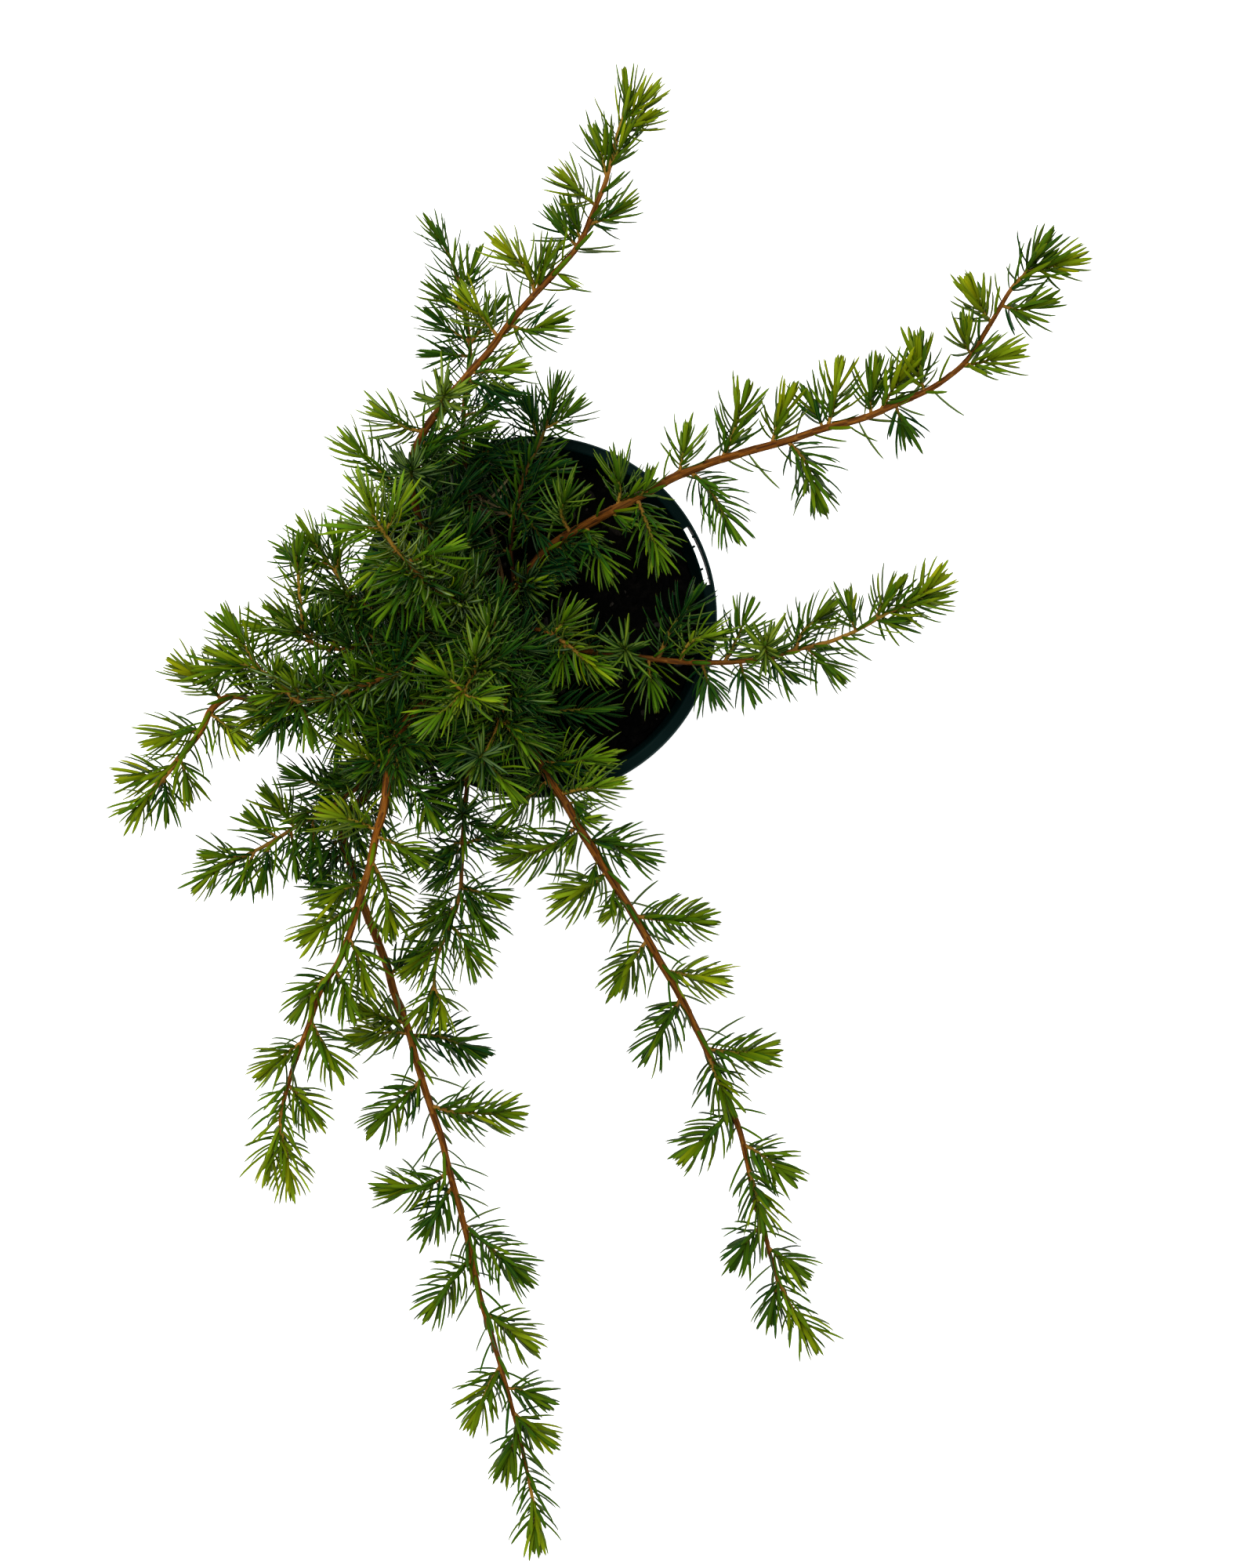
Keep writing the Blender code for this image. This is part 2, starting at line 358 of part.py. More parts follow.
for degrees in slot_turns:
    turn = math.radians(degrees)
    tooth_in = tooth_at(degrees, TAG_TEETH_IN)
    tooth_out = tooth_at(degrees, TAG_TEETH_OUT)
    for r, z in (
        (TAG_SLOT_RADIUS - TAG_SLOT_WIDTH / 2 + tooth_in, POT_HEIGHT - 8 * MM),
        (TAG_SLOT_RADIUS + TAG_SLOT_WIDTH / 2 - tooth_out, POT_HEIGHT - 8 * MM),
        (TAG_SLOT_RADIUS + TAG_SLOT_WIDTH / 2 - tooth_out, POT_HEIGHT + 3 * MM),
        (TAG_SLOT_RADIUS - TAG_SLOT_WIDTH / 2 + tooth_in, POT_HEIGHT + 3 * MM),
    ):
        slot_points.append((r * math.cos(turn), r * math.sin(turn), z))
for i in range(slot_steps):
    a, b = 4 * i, 4 * (i + 1)
    for k in range(4):
        slot_faces.append((a + k, b + k, b + (k + 1) % 4, a + (k + 1) % 4))
slot_faces.append((0, 1, 2, 3))
slot_faces.append(tuple(4 * slot_steps + k for k in (3, 2, 1, 0)))
slot_mesh = bpy.data.meshes.new("label_slot")
slot_mesh.from_pydata(slot_points, [], slot_faces)
slot_cut = bmesh.new()
slot_cut.from_mesh(slot_mesh)
bmesh.ops.recalc_face_normals(slot_cut, faces=slot_cut.faces)
slot_cut.to_mesh(slot_mesh)
slot_cut.free()
slot = bpy.data.objects.new("label_slot", slot_mesh)
cutters.objects.link(slot)
for helper in (*holes, slot):
    clearing(helper)
keep("nursery_pot", largest_body(combined(pot, [], [*holes, slot])), POT_PLASTIC, smooth=35)
for helper in (*holes, slot, pot):
    drop(helper)


# ---- the stems' and shoots' courses ----------------------------------------
def taper(stem_r0, stem_r1, share):
    """Radius of a stem in mm at a share of its length: quick first, then slow."""
    return stem_r1 + (stem_r0 - stem_r1) * (1 - share) ** 0.75


def lengths(points):
    run = [0.0]
    for a, b in zip(points, points[1:]):
        run.append(run[-1] + (b - a).length)
    return run


def thinned(points):
    """Every second point, with both ends: enough for a solid."""
    if len(points) < 7:
        return list(points)
    picked = list(points[:-1:2])
    if (points[-1] - picked[-1]).length < 0.012 and len(picked) > 2:
        picked.pop()
    return picked + [points[-1]]


class Course:
    """A stem's centre line with its radius, in metres."""

    def __init__(self, r0, r1, grid_points):
        every = [at(*p) for p in grid_points]
        run = lengths(every)
        self.every = every
        self.every_radius = [taper(r0, r1, s / run[-1]) * MM for s in run]
        self.points = thinned(every)
        run = lengths(self.points)
        self.run = run
        self.radius = [taper(r0, r1, s / run[-1]) * MM for s in run]
        self.grid = grid_points

    def nearest(self, gx, gy):
        """The point of the centre line that the grid point lies over."""
        best = None
        for i in range(len(self.points) - 1):
            a, b = self.points[i], self.points[i + 1]
            aim = at(gx, gy, (a.z + b.z) / 2 / MM)
            flat = Vector((b.x - a.x, b.y - a.y))
            share = max(0.0, min(1.0, Vector((aim.x - a.x, aim.y - a.y)).dot(flat) / flat.length_squared))
            spot = a.lerp(b, share)
            off = (Vector((aim.x, aim.y)) - Vector((spot.x, spot.y))).length
            if best is None or off < best[0]:
                best = (off, spot)
        return best[1]


courses = {name: Course(r0, r1, grid) for name, r0, r1, grid in STEMS}
trunk_course = Course(*TRUNK)
trunk_course.points, trunk_course.radius = trunk_course.every, trunk_course.every_radius
dry_course = Course(*DRY_TWIG)


def shoot_course(entry):
    """Centre line and radii of one leafy side shoot's envelope."""
    stem, bx, by, tx, ty, rise = entry[:6]
    base = courses[stem].nearest(bx, by)
    top = base.z / MM + rise
    tip = at(tx, ty, top)
    if len(entry) > 6:
        middle = at(entry[6], entry[7], base.z / MM + rise * 0.45)
    else:
        middle = base.lerp(tip, 0.5)
    reach = tip + (tip - middle).normalized() * NEEDLE_REACH * MM
    total = (middle - base).length + (reach - middle).length
    size = min(SHOOT_RADIUS, 0.22 * total / MM) * MM
    return [base, middle.lerp(tip, 0.35), reach], [0.42 * size, size, 0.24 * size]


class Piece:
    """One tube of a node: kept so that its neighbours can clear it."""

    def __init__(self, node, points, radii):
        self.node, self.points, self.radii = node, points, radii
        marks = []
        for (a, ra), (b, rb) in zip(zip(points, radii), zip(points[1:], radii[1:])):
            steps = max(2, int((b - a).length / (1.5 * MM)))
            for k in range(steps + 1):
                share = k / steps
                spot = a.lerp(b, share)
                marks.append((spot.x, spot.y, spot.z, ra + (rb - ra) * share))
        self.marks = np.array(marks)

    def near(self, other, room):
        offsets = self.marks[:, None, :3] - other.marks[None, :, :3]
        apart = np.sqrt((offsets ** 2).sum(axis=2))
        return bool((apart < self.marks[:, None, 3] + other.marks[None, :, 3] + room).any())

    def swollen(self, name, room):
        """The same tube grown by room all round, as a cutter."""
        points = list(self.points)
        points[0] = points[0] - (points[1] - points[0]).normalized() * room
        points[-1] = points[-1] + (points[-1] - points[-2]).normalized() * room
        return tube(name, points, [r + room for r in self.radii])


finished = []                   # the Pieces of every node that is already made


def build(node, parts, look, tunnel=None):
    """Makes a node from its Pieces, clear of all that is already there."""
    made = [tube(f"{node}_{i}", p.points, p.radii) for i, p in enumerate(parts)]
    cuts = []
    if tunnel is not None:
        cuts.append(tunnel.swollen(f"{node}_tunnel", GAP))
    for i, other in enumerate(finished):
        if tunnel is not None and other is tunnel:
            continue
        if any(p.near(other, 2.2 * GAP) for p in parts):
            cuts.append(other.swollen(f"{node}_clear_{i}", GAP))
    mesh = largest_body(combined(made[0], made[1:], cuts))
    keep(node, mesh, look, smooth=60)
    for helper in (*made, *cuts):
        drop(helper)
    finished.extend(parts)


# ---- trunk, soil -----------------------------------------------------------
build("main_trunk", [Piece("main_trunk", trunk_course.points, trunk_course.radius)], BARK)

soil_gap = 0.3 * MM
soil_side = [
    (wall_radius(SOIL_TOP - 2.5 * MM) - WALL - soil_gap, SOIL_TOP - 2.5 * MM),
    (wall_radius(120 * MM) - WALL - soil_gap, 120 * MM),
    (wall_radius(60 * MM) - WALL - soil_gap, 60 * MM),
    (wall_radius(8 * MM) - WALL - soil_gap, 8 * MM),
    (BASE_RADIUS - 6.5 * MM, FLOOR + soil_gap),
    (0.0, FLOOR + soil_gap),
]
soil_rings = [(0.0, SOIL_TOP + 1.0 * MM)]
for share in (0.2, 0.4, 0.6, 0.8, 0.93):
    soil_rings.append((soil_side[0][0] * share, SOIL_TOP))
soil_blank = screwed("soil_blank", soil_rings + soil_side, steps=36, where=cutters)
clearing(soil_blank)
soil_mesh = combined(soil_blank, [], [])
for vertex in soil_mesh.vertices:
    if vertex.co.z > SOIL_TOP - 2 * MM:
        x, y = vertex.co.x / MM, vertex.co.y / MM
        vertex.co.z += (0.9 * math.sin(0.11 * x + 0.6) * math.cos(0.09 * y) + 0.5 * math.sin(0.23 * y + 0.17 * x)) * MM
soil_solid = bpy.data.objects.new("soil_solid", soil_mesh)
cutters.objects.link(soil_solid)
clearing(soil_solid)
pocket = Piece("main_trunk", trunk_course.points, trunk_course.radius).swollen("trunk_pocket", GAP)
keep("potting_mix", largest_body(combined(soil_solid, [], [pocket])), POTTING_MIX, smooth=60)
for helper in (soil_blank, soil_solid, pocket):
    drop(helper)

# ---- stems -----------------------------------------------------------------
for name, course in courses.items():
    build(f"stem_{name}", [Piece(name, course.points, course.radius)], BARK)
build("dry_twig", [Piece("dry_twig", dry_course.points, dry_course.radius)], DRY)

# ---- foliage ---------------------------------------------------------------
for name, course in courses.items():
    run = course.run
    start = BARE_LENGTH * MM
    points, radii = [], []
    for i in range(len(run) - 1):
        a, b = course.points[i], course.points[i + 1]
        if run[i] >= start:
            points.append(a)
            radii.append(course.radius[i] + SLEEVE * MM)
        elif run[i + 1] > start:
            share = (start - run[i]) / (run[i + 1] - run[i])
            points.append(a.lerp(b, share))
            radii.append(course.radius[i] + (course.radius[i + 1] - course.radius[i]) * share + SLEEVE * MM)
    ahead = (course.points[-1] - course.points[-2]).normalized()
    points.append(course.points[-1])
    radii.append(course.radius[-1] + SLEEVE * MM)
    points.append(course.points[-1] + ahead * 3.0 * MM)
    radii.append(1.2 * MM)
    parts = [Piece(name, points, radii)]
    for entry in SHOOTS:
        if entry[0] == name:
            parts.append(Piece(name, *shoot_course(entry)))
    green = material(f"needles_{name}", GREENS.get(name, (0.062, 0.125, 0.018)), 0.5)
    own = next(p for p in finished if p.node == name)
    build(f"needles_{name}", parts, green, tunnel=own)

for helper in list(cutters.objects):
    drop(helper)
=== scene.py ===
"""Potted shore juniper: how it looks.

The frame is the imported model. The plant is grown again along the same stems and
side shoots as the model's, in millimetres and in the same frame, with real
needles, ridged bark, a fine pot and a grainy potting mix.
"""

import math

import bmesh
import bpy
import numpy as np
from mathutils import Matrix, Vector, noise


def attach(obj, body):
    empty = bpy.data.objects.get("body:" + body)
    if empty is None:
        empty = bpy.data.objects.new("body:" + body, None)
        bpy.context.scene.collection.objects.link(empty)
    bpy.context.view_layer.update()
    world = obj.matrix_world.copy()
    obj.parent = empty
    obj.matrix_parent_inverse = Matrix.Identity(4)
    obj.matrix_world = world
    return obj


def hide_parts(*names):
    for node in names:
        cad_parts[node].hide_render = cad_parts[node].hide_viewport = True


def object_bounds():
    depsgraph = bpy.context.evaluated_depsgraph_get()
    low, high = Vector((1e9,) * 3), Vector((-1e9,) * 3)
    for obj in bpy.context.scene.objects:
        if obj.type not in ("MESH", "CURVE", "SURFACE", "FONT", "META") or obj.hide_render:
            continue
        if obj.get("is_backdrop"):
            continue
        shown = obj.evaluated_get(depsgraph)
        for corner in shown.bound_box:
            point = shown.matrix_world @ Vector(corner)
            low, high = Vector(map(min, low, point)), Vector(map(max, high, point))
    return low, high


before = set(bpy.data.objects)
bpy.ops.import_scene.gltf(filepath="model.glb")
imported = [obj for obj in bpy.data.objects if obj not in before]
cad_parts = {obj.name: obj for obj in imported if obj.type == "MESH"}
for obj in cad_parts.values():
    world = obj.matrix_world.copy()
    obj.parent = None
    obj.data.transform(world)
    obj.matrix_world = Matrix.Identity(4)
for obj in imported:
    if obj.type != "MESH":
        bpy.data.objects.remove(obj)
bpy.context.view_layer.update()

MM = 0.001

# ---- the model's own sizes, in mm ------------------------------------------
POT_HEIGHT = 165.0
RIM_RADIUS = 82.5
LEDGE_WIDTH = 5.4
WALL = 1.3
FLOOR = 2.2
BASE_RADIUS = 61.0
SKIRT_DEPTH = 12.0
SKIRT_THICK = 1.6
DRAIN_HOLES = 6
DRAIN_RADIUS = 6.0
DRAIN_CIRCLE = 45.0
TAG_SLOT_RADIUS = 79.45
TAG_SLOT_WIDTH = 2.9
TAG_SLOT_FROM = 10.5
TAG_SLOT_TO = 31.0
SOIL_TOP = 143.0

GRID_AXIS = (684.1, 786.6)
GRID_EYE = (800.0, 1000.0)
UNIT = RIM_RADIUS / 231.1
EYE_ABOVE_RIM = 900.0

# ---- the plant's layout ----------------------------------------------------
# stem: name, base and tip radius in mm, then (grid x, grid y, height in mm).
STEMS = (
    ("northeast", 2.4, 0.8, ((645, 800, 166), (665, 745, 180), (700, 700, 188), (740, 674, 195), (780, 652, 200), (825, 628, 205), (860, 609, 208), (905, 591, 212), (955, 576, 216), (1005, 562, 220), (1050, 547, 223), (1100, 534, 226), (1145, 515, 229), (1187, 496, 231), (1215, 477, 233), (1237, 456, 234), (1257, 424, 236), (1273, 397, 238), (1290, 369, 239), (1306, 352, 240), (1322, 343, 241))),
    ("southeast", 2.4, 0.8, ((645, 800, 158), (652, 860, 171), (662, 905, 179), (683, 958, 185), (702, 995, 188), (722, 1025, 189), (745, 1065, 190), (770, 1105, 191), (795, 1145, 191), (820, 1187, 191), (843, 1228, 190), (865, 1265, 189), (885, 1305, 188), (903, 1342, 187), (925, 1395, 185), (943, 1440, 183), (953, 1480, 181), (963, 1530, 179), (977, 1578, 177), (990, 1625, 175), (1008, 1665, 173))),
    ("south", 2.5, 0.8, ((645, 800, 153), (620, 835, 162), (575, 890, 170), (520, 955, 173), (465, 1015, 171), (438, 1060, 168), (450, 1110, 165), (470, 1170, 162), (493, 1230, 160), (505, 1272, 158), (520, 1310, 157), (532, 1355, 155), (547, 1403, 154), (562, 1448, 152), (575, 1500, 150), (588, 1545, 149), (600, 1595, 147), (613, 1655, 145), (628, 1705, 143), (645, 1765, 141), (660, 1820, 139), (670, 1865, 137), (681, 1918, 135))),
    ("southwest", 2.3, 0.8, ((645, 800, 172), (605, 835, 183), (560, 880, 195), (515, 925, 204), (498, 965, 209), (495, 985, 210), (490, 1030, 209), (480, 1065, 207), (472, 1105, 204), (458, 1150, 201), (445, 1195, 198), (430, 1230, 195), (410, 1262, 192), (395, 1305, 188), (380, 1345, 184), (365, 1393, 180), (358, 1430, 177), (361, 1455, 175))),
    ("north", 2.2, 0.8, ((645, 800, 178), (590, 745, 194), (548, 685, 207), (527, 630, 214), (527, 585, 218), (540, 553, 221), (572, 508, 225), (597, 478, 228), (625, 447, 232), (650, 413, 236), (683, 375, 240), (715, 341, 244), (740, 310, 246), (757, 270, 249), (772, 234, 252), (786, 180, 256), (796, 148, 259))),
    ("east", 1.8, 0.8, ((645, 800, 161), (690, 815, 172), (750, 830, 179), (820, 839, 183), (880, 845, 186), (940, 844, 190), (980, 838, 193), (1020, 828, 196), (1060, 818, 199), (1095, 803, 202), (1125, 786, 204), (1160, 768, 206))),
    ("west", 2.0, 0.8, ((645, 800, 169), (600, 822, 180), (520, 866, 193), (440, 897, 202), (380, 905, 208), (330, 895, 212), (295, 888, 214), (270, 905, 213), (258, 930, 210), (235, 960, 206), (210, 990, 202), (192, 1012, 199))),
    ("north_low", 1.7, 0.8, ((645, 800, 163), (610, 700, 179), (594, 600, 188), (592, 520, 192), (600, 450, 195), (592, 390, 198), (583, 350, 200), (570, 318, 202))),
    ("west_high", 1.5, 0.8, ((632, 800, 185), (580, 820, 198), (525, 848, 209), (470, 872, 218), (420, 889, 226), (378, 893, 231), (358, 870, 235), (335, 857, 238), (308, 846, 241))),
    ("west_low", 1.6, 0.9, ((640, 812, 157), (600, 858, 168), (530, 925, 177), (478, 985, 179), (425, 1028, 179), (385, 1050, 178.5), (345, 1075, 177), (310, 1093, 176), (285, 1105, 175))),
    ("midsouth", 1.6, 0.8, ((645, 812, 164), (632, 860, 175), (612, 925, 182), (598, 990, 184), (592, 1050, 183), (589, 1110, 182), (586, 1145, 180), (570, 1190, 178), (557, 1225, 176), (553, 1262, 174))),
    ("northwest_high", 1.5, 0.8, ((632, 797, 190), (588, 772, 210), (548, 744, 229), (525, 722, 240), (505, 700, 247), (487, 675, 252), (474, 652, 256))),
    ("northwest_low", 1.4, 0.8, ((640, 798, 175), (565, 788, 189), (505, 781, 200), (464, 771, 208), (445, 754, 214), (428, 730, 219), (410, 707, 223))),
    ("west_mid", 1.4, 0.7, ((636, 800, 181), (545, 815, 198), (474, 824, 209), (430, 828, 216), (402, 821, 221), (388, 805, 225), (384, 775, 229), (381, 742, 232), (380, 722, 234))),
    ("inner_north", 1.2, 0.7, ((650, 795, 169), (655, 745, 178), (652, 690, 184), (662, 630, 188), (673, 598, 189), (690, 562, 191), (701, 532, 193))),
    ("inner_east", 1.2, 0.8, ((652, 800, 172), (685, 803, 185), (705, 810, 193), (726, 824, 198), (745, 840, 202))),
    ("crown", 1.5, 0.9, ((634, 805, 191), (620, 838, 207), (602, 866, 219), (590, 886, 227))),
    ("crown_south", 1.4, 0.8, ((646, 808, 181), (650, 860, 194), (640, 910, 203), (626, 948, 209), (613, 967, 212))),
)

# side shoot: stem, then grid x and y where it leaves the stem, grid x and y of
# the end of its twig, its rise in mm, and optionally a grid point between.
SHOOTS = (
    ("northeast", 787, 648, 788, 607, 8, 791, 628), ("northeast", 865, 606, 873, 570, 5), ("northeast", 920, 584, 946, 520, 4, 935, 555), ("northeast", 985, 568, 1000, 523, 4, 990, 548),
    ("northeast", 748, 672, 768, 718, 4, 757, 695), ("northeast", 812, 636, 838, 702, 5, 828, 675), ("northeast", 880, 601, 928, 665, -3, 908, 628), ("northeast", 1005, 562, 1040, 625, -3, 1028, 590),
    ("northeast", 1055, 547, 1068, 490, 4, 1063, 515), ("northeast", 1050, 547, 1038, 520, 0), ("northeast", 1112, 530, 1115, 490, 3), ("northeast", 1122, 525, 1152, 478, 4, 1137, 500),
    ("northeast", 1180, 498, 1171, 458, 4), ("northeast", 1143, 518, 1152, 540, -5), ("northeast", 1228, 468, 1273, 455, 2, 1250, 463), ("northeast", 1240, 452, 1232, 432, 6),
    ("northeast", 1263, 412, 1246, 382, 5), ("northeast", 1282, 392, 1318, 390, -2, 1300, 396), ("northeast", 1306, 352, 1322, 325, 5), ("northeast", 1318, 345, 1353, 337, 1),
    ("northeast", 728, 682, 722, 634, 14, 716, 655),
    ("southeast", 690, 972, 757, 967, 7, 720, 973), ("southeast", 715, 1012, 765, 1003, 9), ("southeast", 757, 1068, 808, 1088, -3, 780, 1077), ("southeast", 775, 1110, 735, 1138, 7, 760, 1125),
    ("southeast", 812, 1168, 885, 1175, 0, 845, 1173), ("southeast", 822, 1200, 795, 1243, 4, 810, 1220), ("southeast", 850, 1237, 900, 1247, 4, 875, 1243), ("southeast", 868, 1275, 836, 1330, 0, 853, 1298),
    ("southeast", 901, 1338, 965, 1342, 0, 930, 1342), ("southeast", 905, 1347, 924, 1395, 7), ("southeast", 930, 1415, 888, 1462, 0, 908, 1443), ("southeast", 948, 1458, 995, 1493, 0, 970, 1472),
    ("southeast", 955, 1490, 970, 1545, 6), ("southeast", 972, 1562, 948, 1595, -2), ("southeast", 982, 1592, 1008, 1612, 3), ("southeast", 993, 1633, 987, 1665, -3),
    ("southeast", 1006, 1661, 1027, 1697, 0), ("southeast", 700, 995, 658, 1030, 5, 682, 1010), ("southeast", 738, 1052, 665, 1090, 3, 705, 1078), ("southeast", 660, 898, 762, 904, -3, 710, 906),
    ("south", 521, 1318, 470, 1320, 7), ("south", 516, 1305, 475, 1291, 12), ("south", 497, 1245, 520, 1222, 3), ("south", 525, 1320, 597, 1337, -4, 560, 1322), ("south", 537, 1376, 487, 1427, -2, 510, 1405),
    ("south", 550, 1410, 642, 1420, 0, 580, 1418), ("south", 573, 1492, 508, 1516, 0, 550, 1510), ("south", 578, 1512, 552, 1556, -4), ("south", 592, 1560, 655, 1618, 0, 625, 1590), ("south", 602, 1605, 558, 1660, 0, 583, 1625),
    ("south", 618, 1672, 663, 1705, 4, 642, 1690), ("south", 638, 1742, 610, 1797, 0, 623, 1768), ("south", 648, 1770, 680, 1780, 0), ("south", 656, 1800, 685, 1828, 0), ("south", 660, 1820, 648, 1860, 2),
    ("south", 681, 1915, 682, 1950, 0), ("south", 462, 1145, 415, 1127, -2),
    ("southwest", 496, 985, 455, 957, 6, 473, 970), ("southwest", 482, 1060, 432, 1040, 6, 455, 1048), ("southwest", 505, 948, 446, 902, 4, 470, 925), ("southwest", 456, 1158, 405, 1187, 0, 430, 1170),
    ("southwest", 466, 1125, 425, 1143, 3), ("southwest", 424, 1240, 390, 1278, 0, 402, 1260), ("southwest", 446, 1197, 464, 1245, 2), ("southwest", 474, 1098, 497, 1168, 2, 490, 1130),
    ("southwest", 480, 1068, 522, 1087, 4), ("southwest", 386, 1328, 350, 1357, 2), ("southwest", 398, 1300, 423, 1352, -2, 410, 1328), ("southwest", 370, 1385, 392, 1413, 0), ("southwest", 359, 1440, 345, 1478, 0),
    ("southwest", 361, 1452, 369, 1498, 2), ("southwest", 427, 1235, 445, 1275, -4), ("southwest", 496, 990, 548, 1035, -6, 530, 1003),
    ("north", 797, 146, 800, 125, 3), ("north", 793, 155, 818, 131, 5), ("north", 789, 170, 813, 158, 3), ("north", 777, 216, 792, 186, 5), ("north", 774, 226, 767, 192, 2), ("north", 760, 264, 733, 238, 6),
    ("north", 752, 287, 786, 270, -2), ("north", 741, 309, 733, 282, 3), ("north", 738, 314, 716, 287, -5), ("north", 683, 375, 652, 325, 7, 674, 347), ("north", 688, 370, 694, 338, 4), ("north", 648, 415, 695, 415, -3, 672, 421),
    ("north", 638, 431, 603, 392, 7, 622, 412), ("north", 600, 475, 645, 470, 4), ("north", 595, 482, 632, 497, -6), ("north", 566, 518, 569, 502, 22), ("north", 533, 568, 603, 548, -3), ("north", 541, 552, 497, 533, 9, 518, 546),
    ("north", 526, 612, 525, 599, 24), ("north", 528, 625, 455, 573, 1, 488, 604), ("north", 545, 678, 590, 618, -6), ("north", 575, 724, 602, 677, 4),
    ("east", 1158, 769, 1187, 749, 2), ("east", 1140, 778, 1178, 766, -4), ("east", 1118, 790, 1140, 792, -6), ("east", 1118, 789, 1134, 760, 3), ("east", 1093, 804, 1085, 782, 4), ("east", 1015, 829, 1045, 788, 5, 1025, 805),
    ("east", 1030, 826, 1056, 850, -3), ("east", 978, 838, 976, 822, 20), ("east", 985, 837, 1000, 856, -5), ("east", 945, 843, 953, 872, -5), ("east", 925, 845, 949, 793, 4, 940, 815), ("east", 895, 846, 905, 876, -6),
    ("east", 868, 843, 905, 811, 9, 880, 820), ("east", 828, 840, 832, 875, 2), ("east", 800, 836, 797, 827, 18), ("east", 840, 841, 879, 772, 2, 858, 800),
    ("west", 194, 1010, 176, 1030, -2), ("west", 284, 892, 243, 858, 6, 265, 872), ("west", 258, 928, 213, 941, 3), ("west", 268, 910, 297, 934, 3, 282, 920), ("west", 230, 966, 238, 994, -3), ("west", 218, 980, 180, 990, 0),
    ("west", 208, 992, 212, 1022, -3), ("west", 520, 866, 500, 834, 3),
    ("north_low", 590, 382, 601, 345, 1), ("north_low", 592, 398, 566, 378, 2), ("north_low", 599, 436, 563, 412, 0), ("north_low", 600, 455, 565, 452, -2), ("north_low", 600, 440, 626, 402, 2), ("north_low", 592, 530, 632, 512, 0),
    ("north_low", 594, 580, 640, 572, -3), ("north_low", 593, 545, 558, 562, -3), ("north_low", 571, 320, 560, 303, 0),
    ("west_high", 309, 846, 288, 838, 1), ("west_high", 330, 856, 297, 805, -6, 315, 828), ("west_high", 378, 893, 396, 926, -8), ("west_high", 374, 893, 345, 930, -14), ("west_high", 410, 890, 400, 857, -2), ("west_high", 320, 851, 275, 853, -5),
    ("west_low", 286, 1104, 267, 1118, 0), ("west_low", 376, 1056, 354, 1028, 3), ("west_low", 355, 1069, 333, 1053, 1), ("west_low", 308, 1094, 283, 1092, 3), ("west_low", 342, 1077, 337, 1110, -2), ("west_low", 325, 1086, 311, 1116, -2),
    ("west_low", 372, 1058, 376, 1092, -4), ("west_low", 398, 1044, 398, 1086, -4), ("west_low", 440, 1016, 385, 993, 2),
    ("midsouth", 592, 1045, 591, 1036, 12), ("midsouth", 590, 1085, 545, 1097, -3), ("midsouth", 591, 1078, 637, 1068, -4), ("midsouth", 587, 1130, 625, 1141, 1), ("midsouth", 586, 1145, 614, 1174, -1), ("midsouth", 583, 1155, 546, 1180, 0),
    ("midsouth", 574, 1180, 600, 1221, 0), ("midsouth", 565, 1200, 533, 1228, 0), ("midsouth", 553, 1260, 563, 1287, 3), ("midsouth", 553, 1258, 543, 1283, -1), ("midsouth", 597, 1000, 560, 1010, -2),
    ("northwest_high", 474, 653, 468, 632, 4), ("northwest_high", 490, 680, 507, 648, 0), ("northwest_high", 520, 717, 563, 704, -4), ("northwest_high", 506, 702, 476, 727, -8), ("northwest_high", 528, 726, 500, 772, -12),
    ("northwest_high", 533, 730, 547, 768, -10), ("northwest_high", 488, 677, 455, 672, -4),
    ("northwest_low", 411, 708, 398, 688, 4), ("northwest_low", 428, 729, 432, 692, 2), ("northwest_low", 446, 756, 408, 754, -3), ("northwest_low", 460, 768, 442, 798, -5), ("northwest_low", 420, 720, 383, 714, -3),
    ("west_mid", 380, 724, 379, 706, 3), ("west_mid", 387, 803, 362, 790, 3), ("west_mid", 400, 819, 338, 800, 0, 368, 808), ("west_mid", 425, 827, 422, 798, 3), ("west_mid", 418, 826, 420, 858, -4),
    ("inner_north", 701, 533, 706, 506, 2), ("inner_north", 697, 547, 722, 530, 0), ("inner_north", 689, 563, 677, 528, -3), ("inner_north", 673, 598, 640, 580, -4), ("inner_north", 668, 612, 700, 598, -3), ("inner_north", 656, 660, 630, 640, -3),
    ("inner_north", 652, 745, 684, 744, 8),
    ("inner_east", 744, 839, 760, 851, 3), ("inner_east", 703, 808, 722, 790, 5), ("inner_east", 722, 821, 716, 846, 1),
    ("crown", 605, 862, 607, 833, 6), ("crown", 590, 885, 614, 891, 4), ("crown", 591, 883, 560, 857, 3), ("crown", 589, 887, 556, 914, 3), ("crown", 620, 838, 622, 797, 10),
    ("crown_south", 613, 967, 645, 1000, 2, 630, 983), ("crown_south", 616, 962, 612, 968, 14), ("crown_south", 638, 916, 666, 950, 9), ("crown_south", 642, 902, 676, 898, 0),
)

TRUNK = (4.8, 3.2, ((655, 806, 128), (653, 804, 148), (650, 802, 166), (645, 800, 182), (634, 799, 196)))
DRY_TWIG = (1.0, 0.5, ((650, 785, 166), (636, 712, 177), (622, 660, 182), (612, 632, 185)))

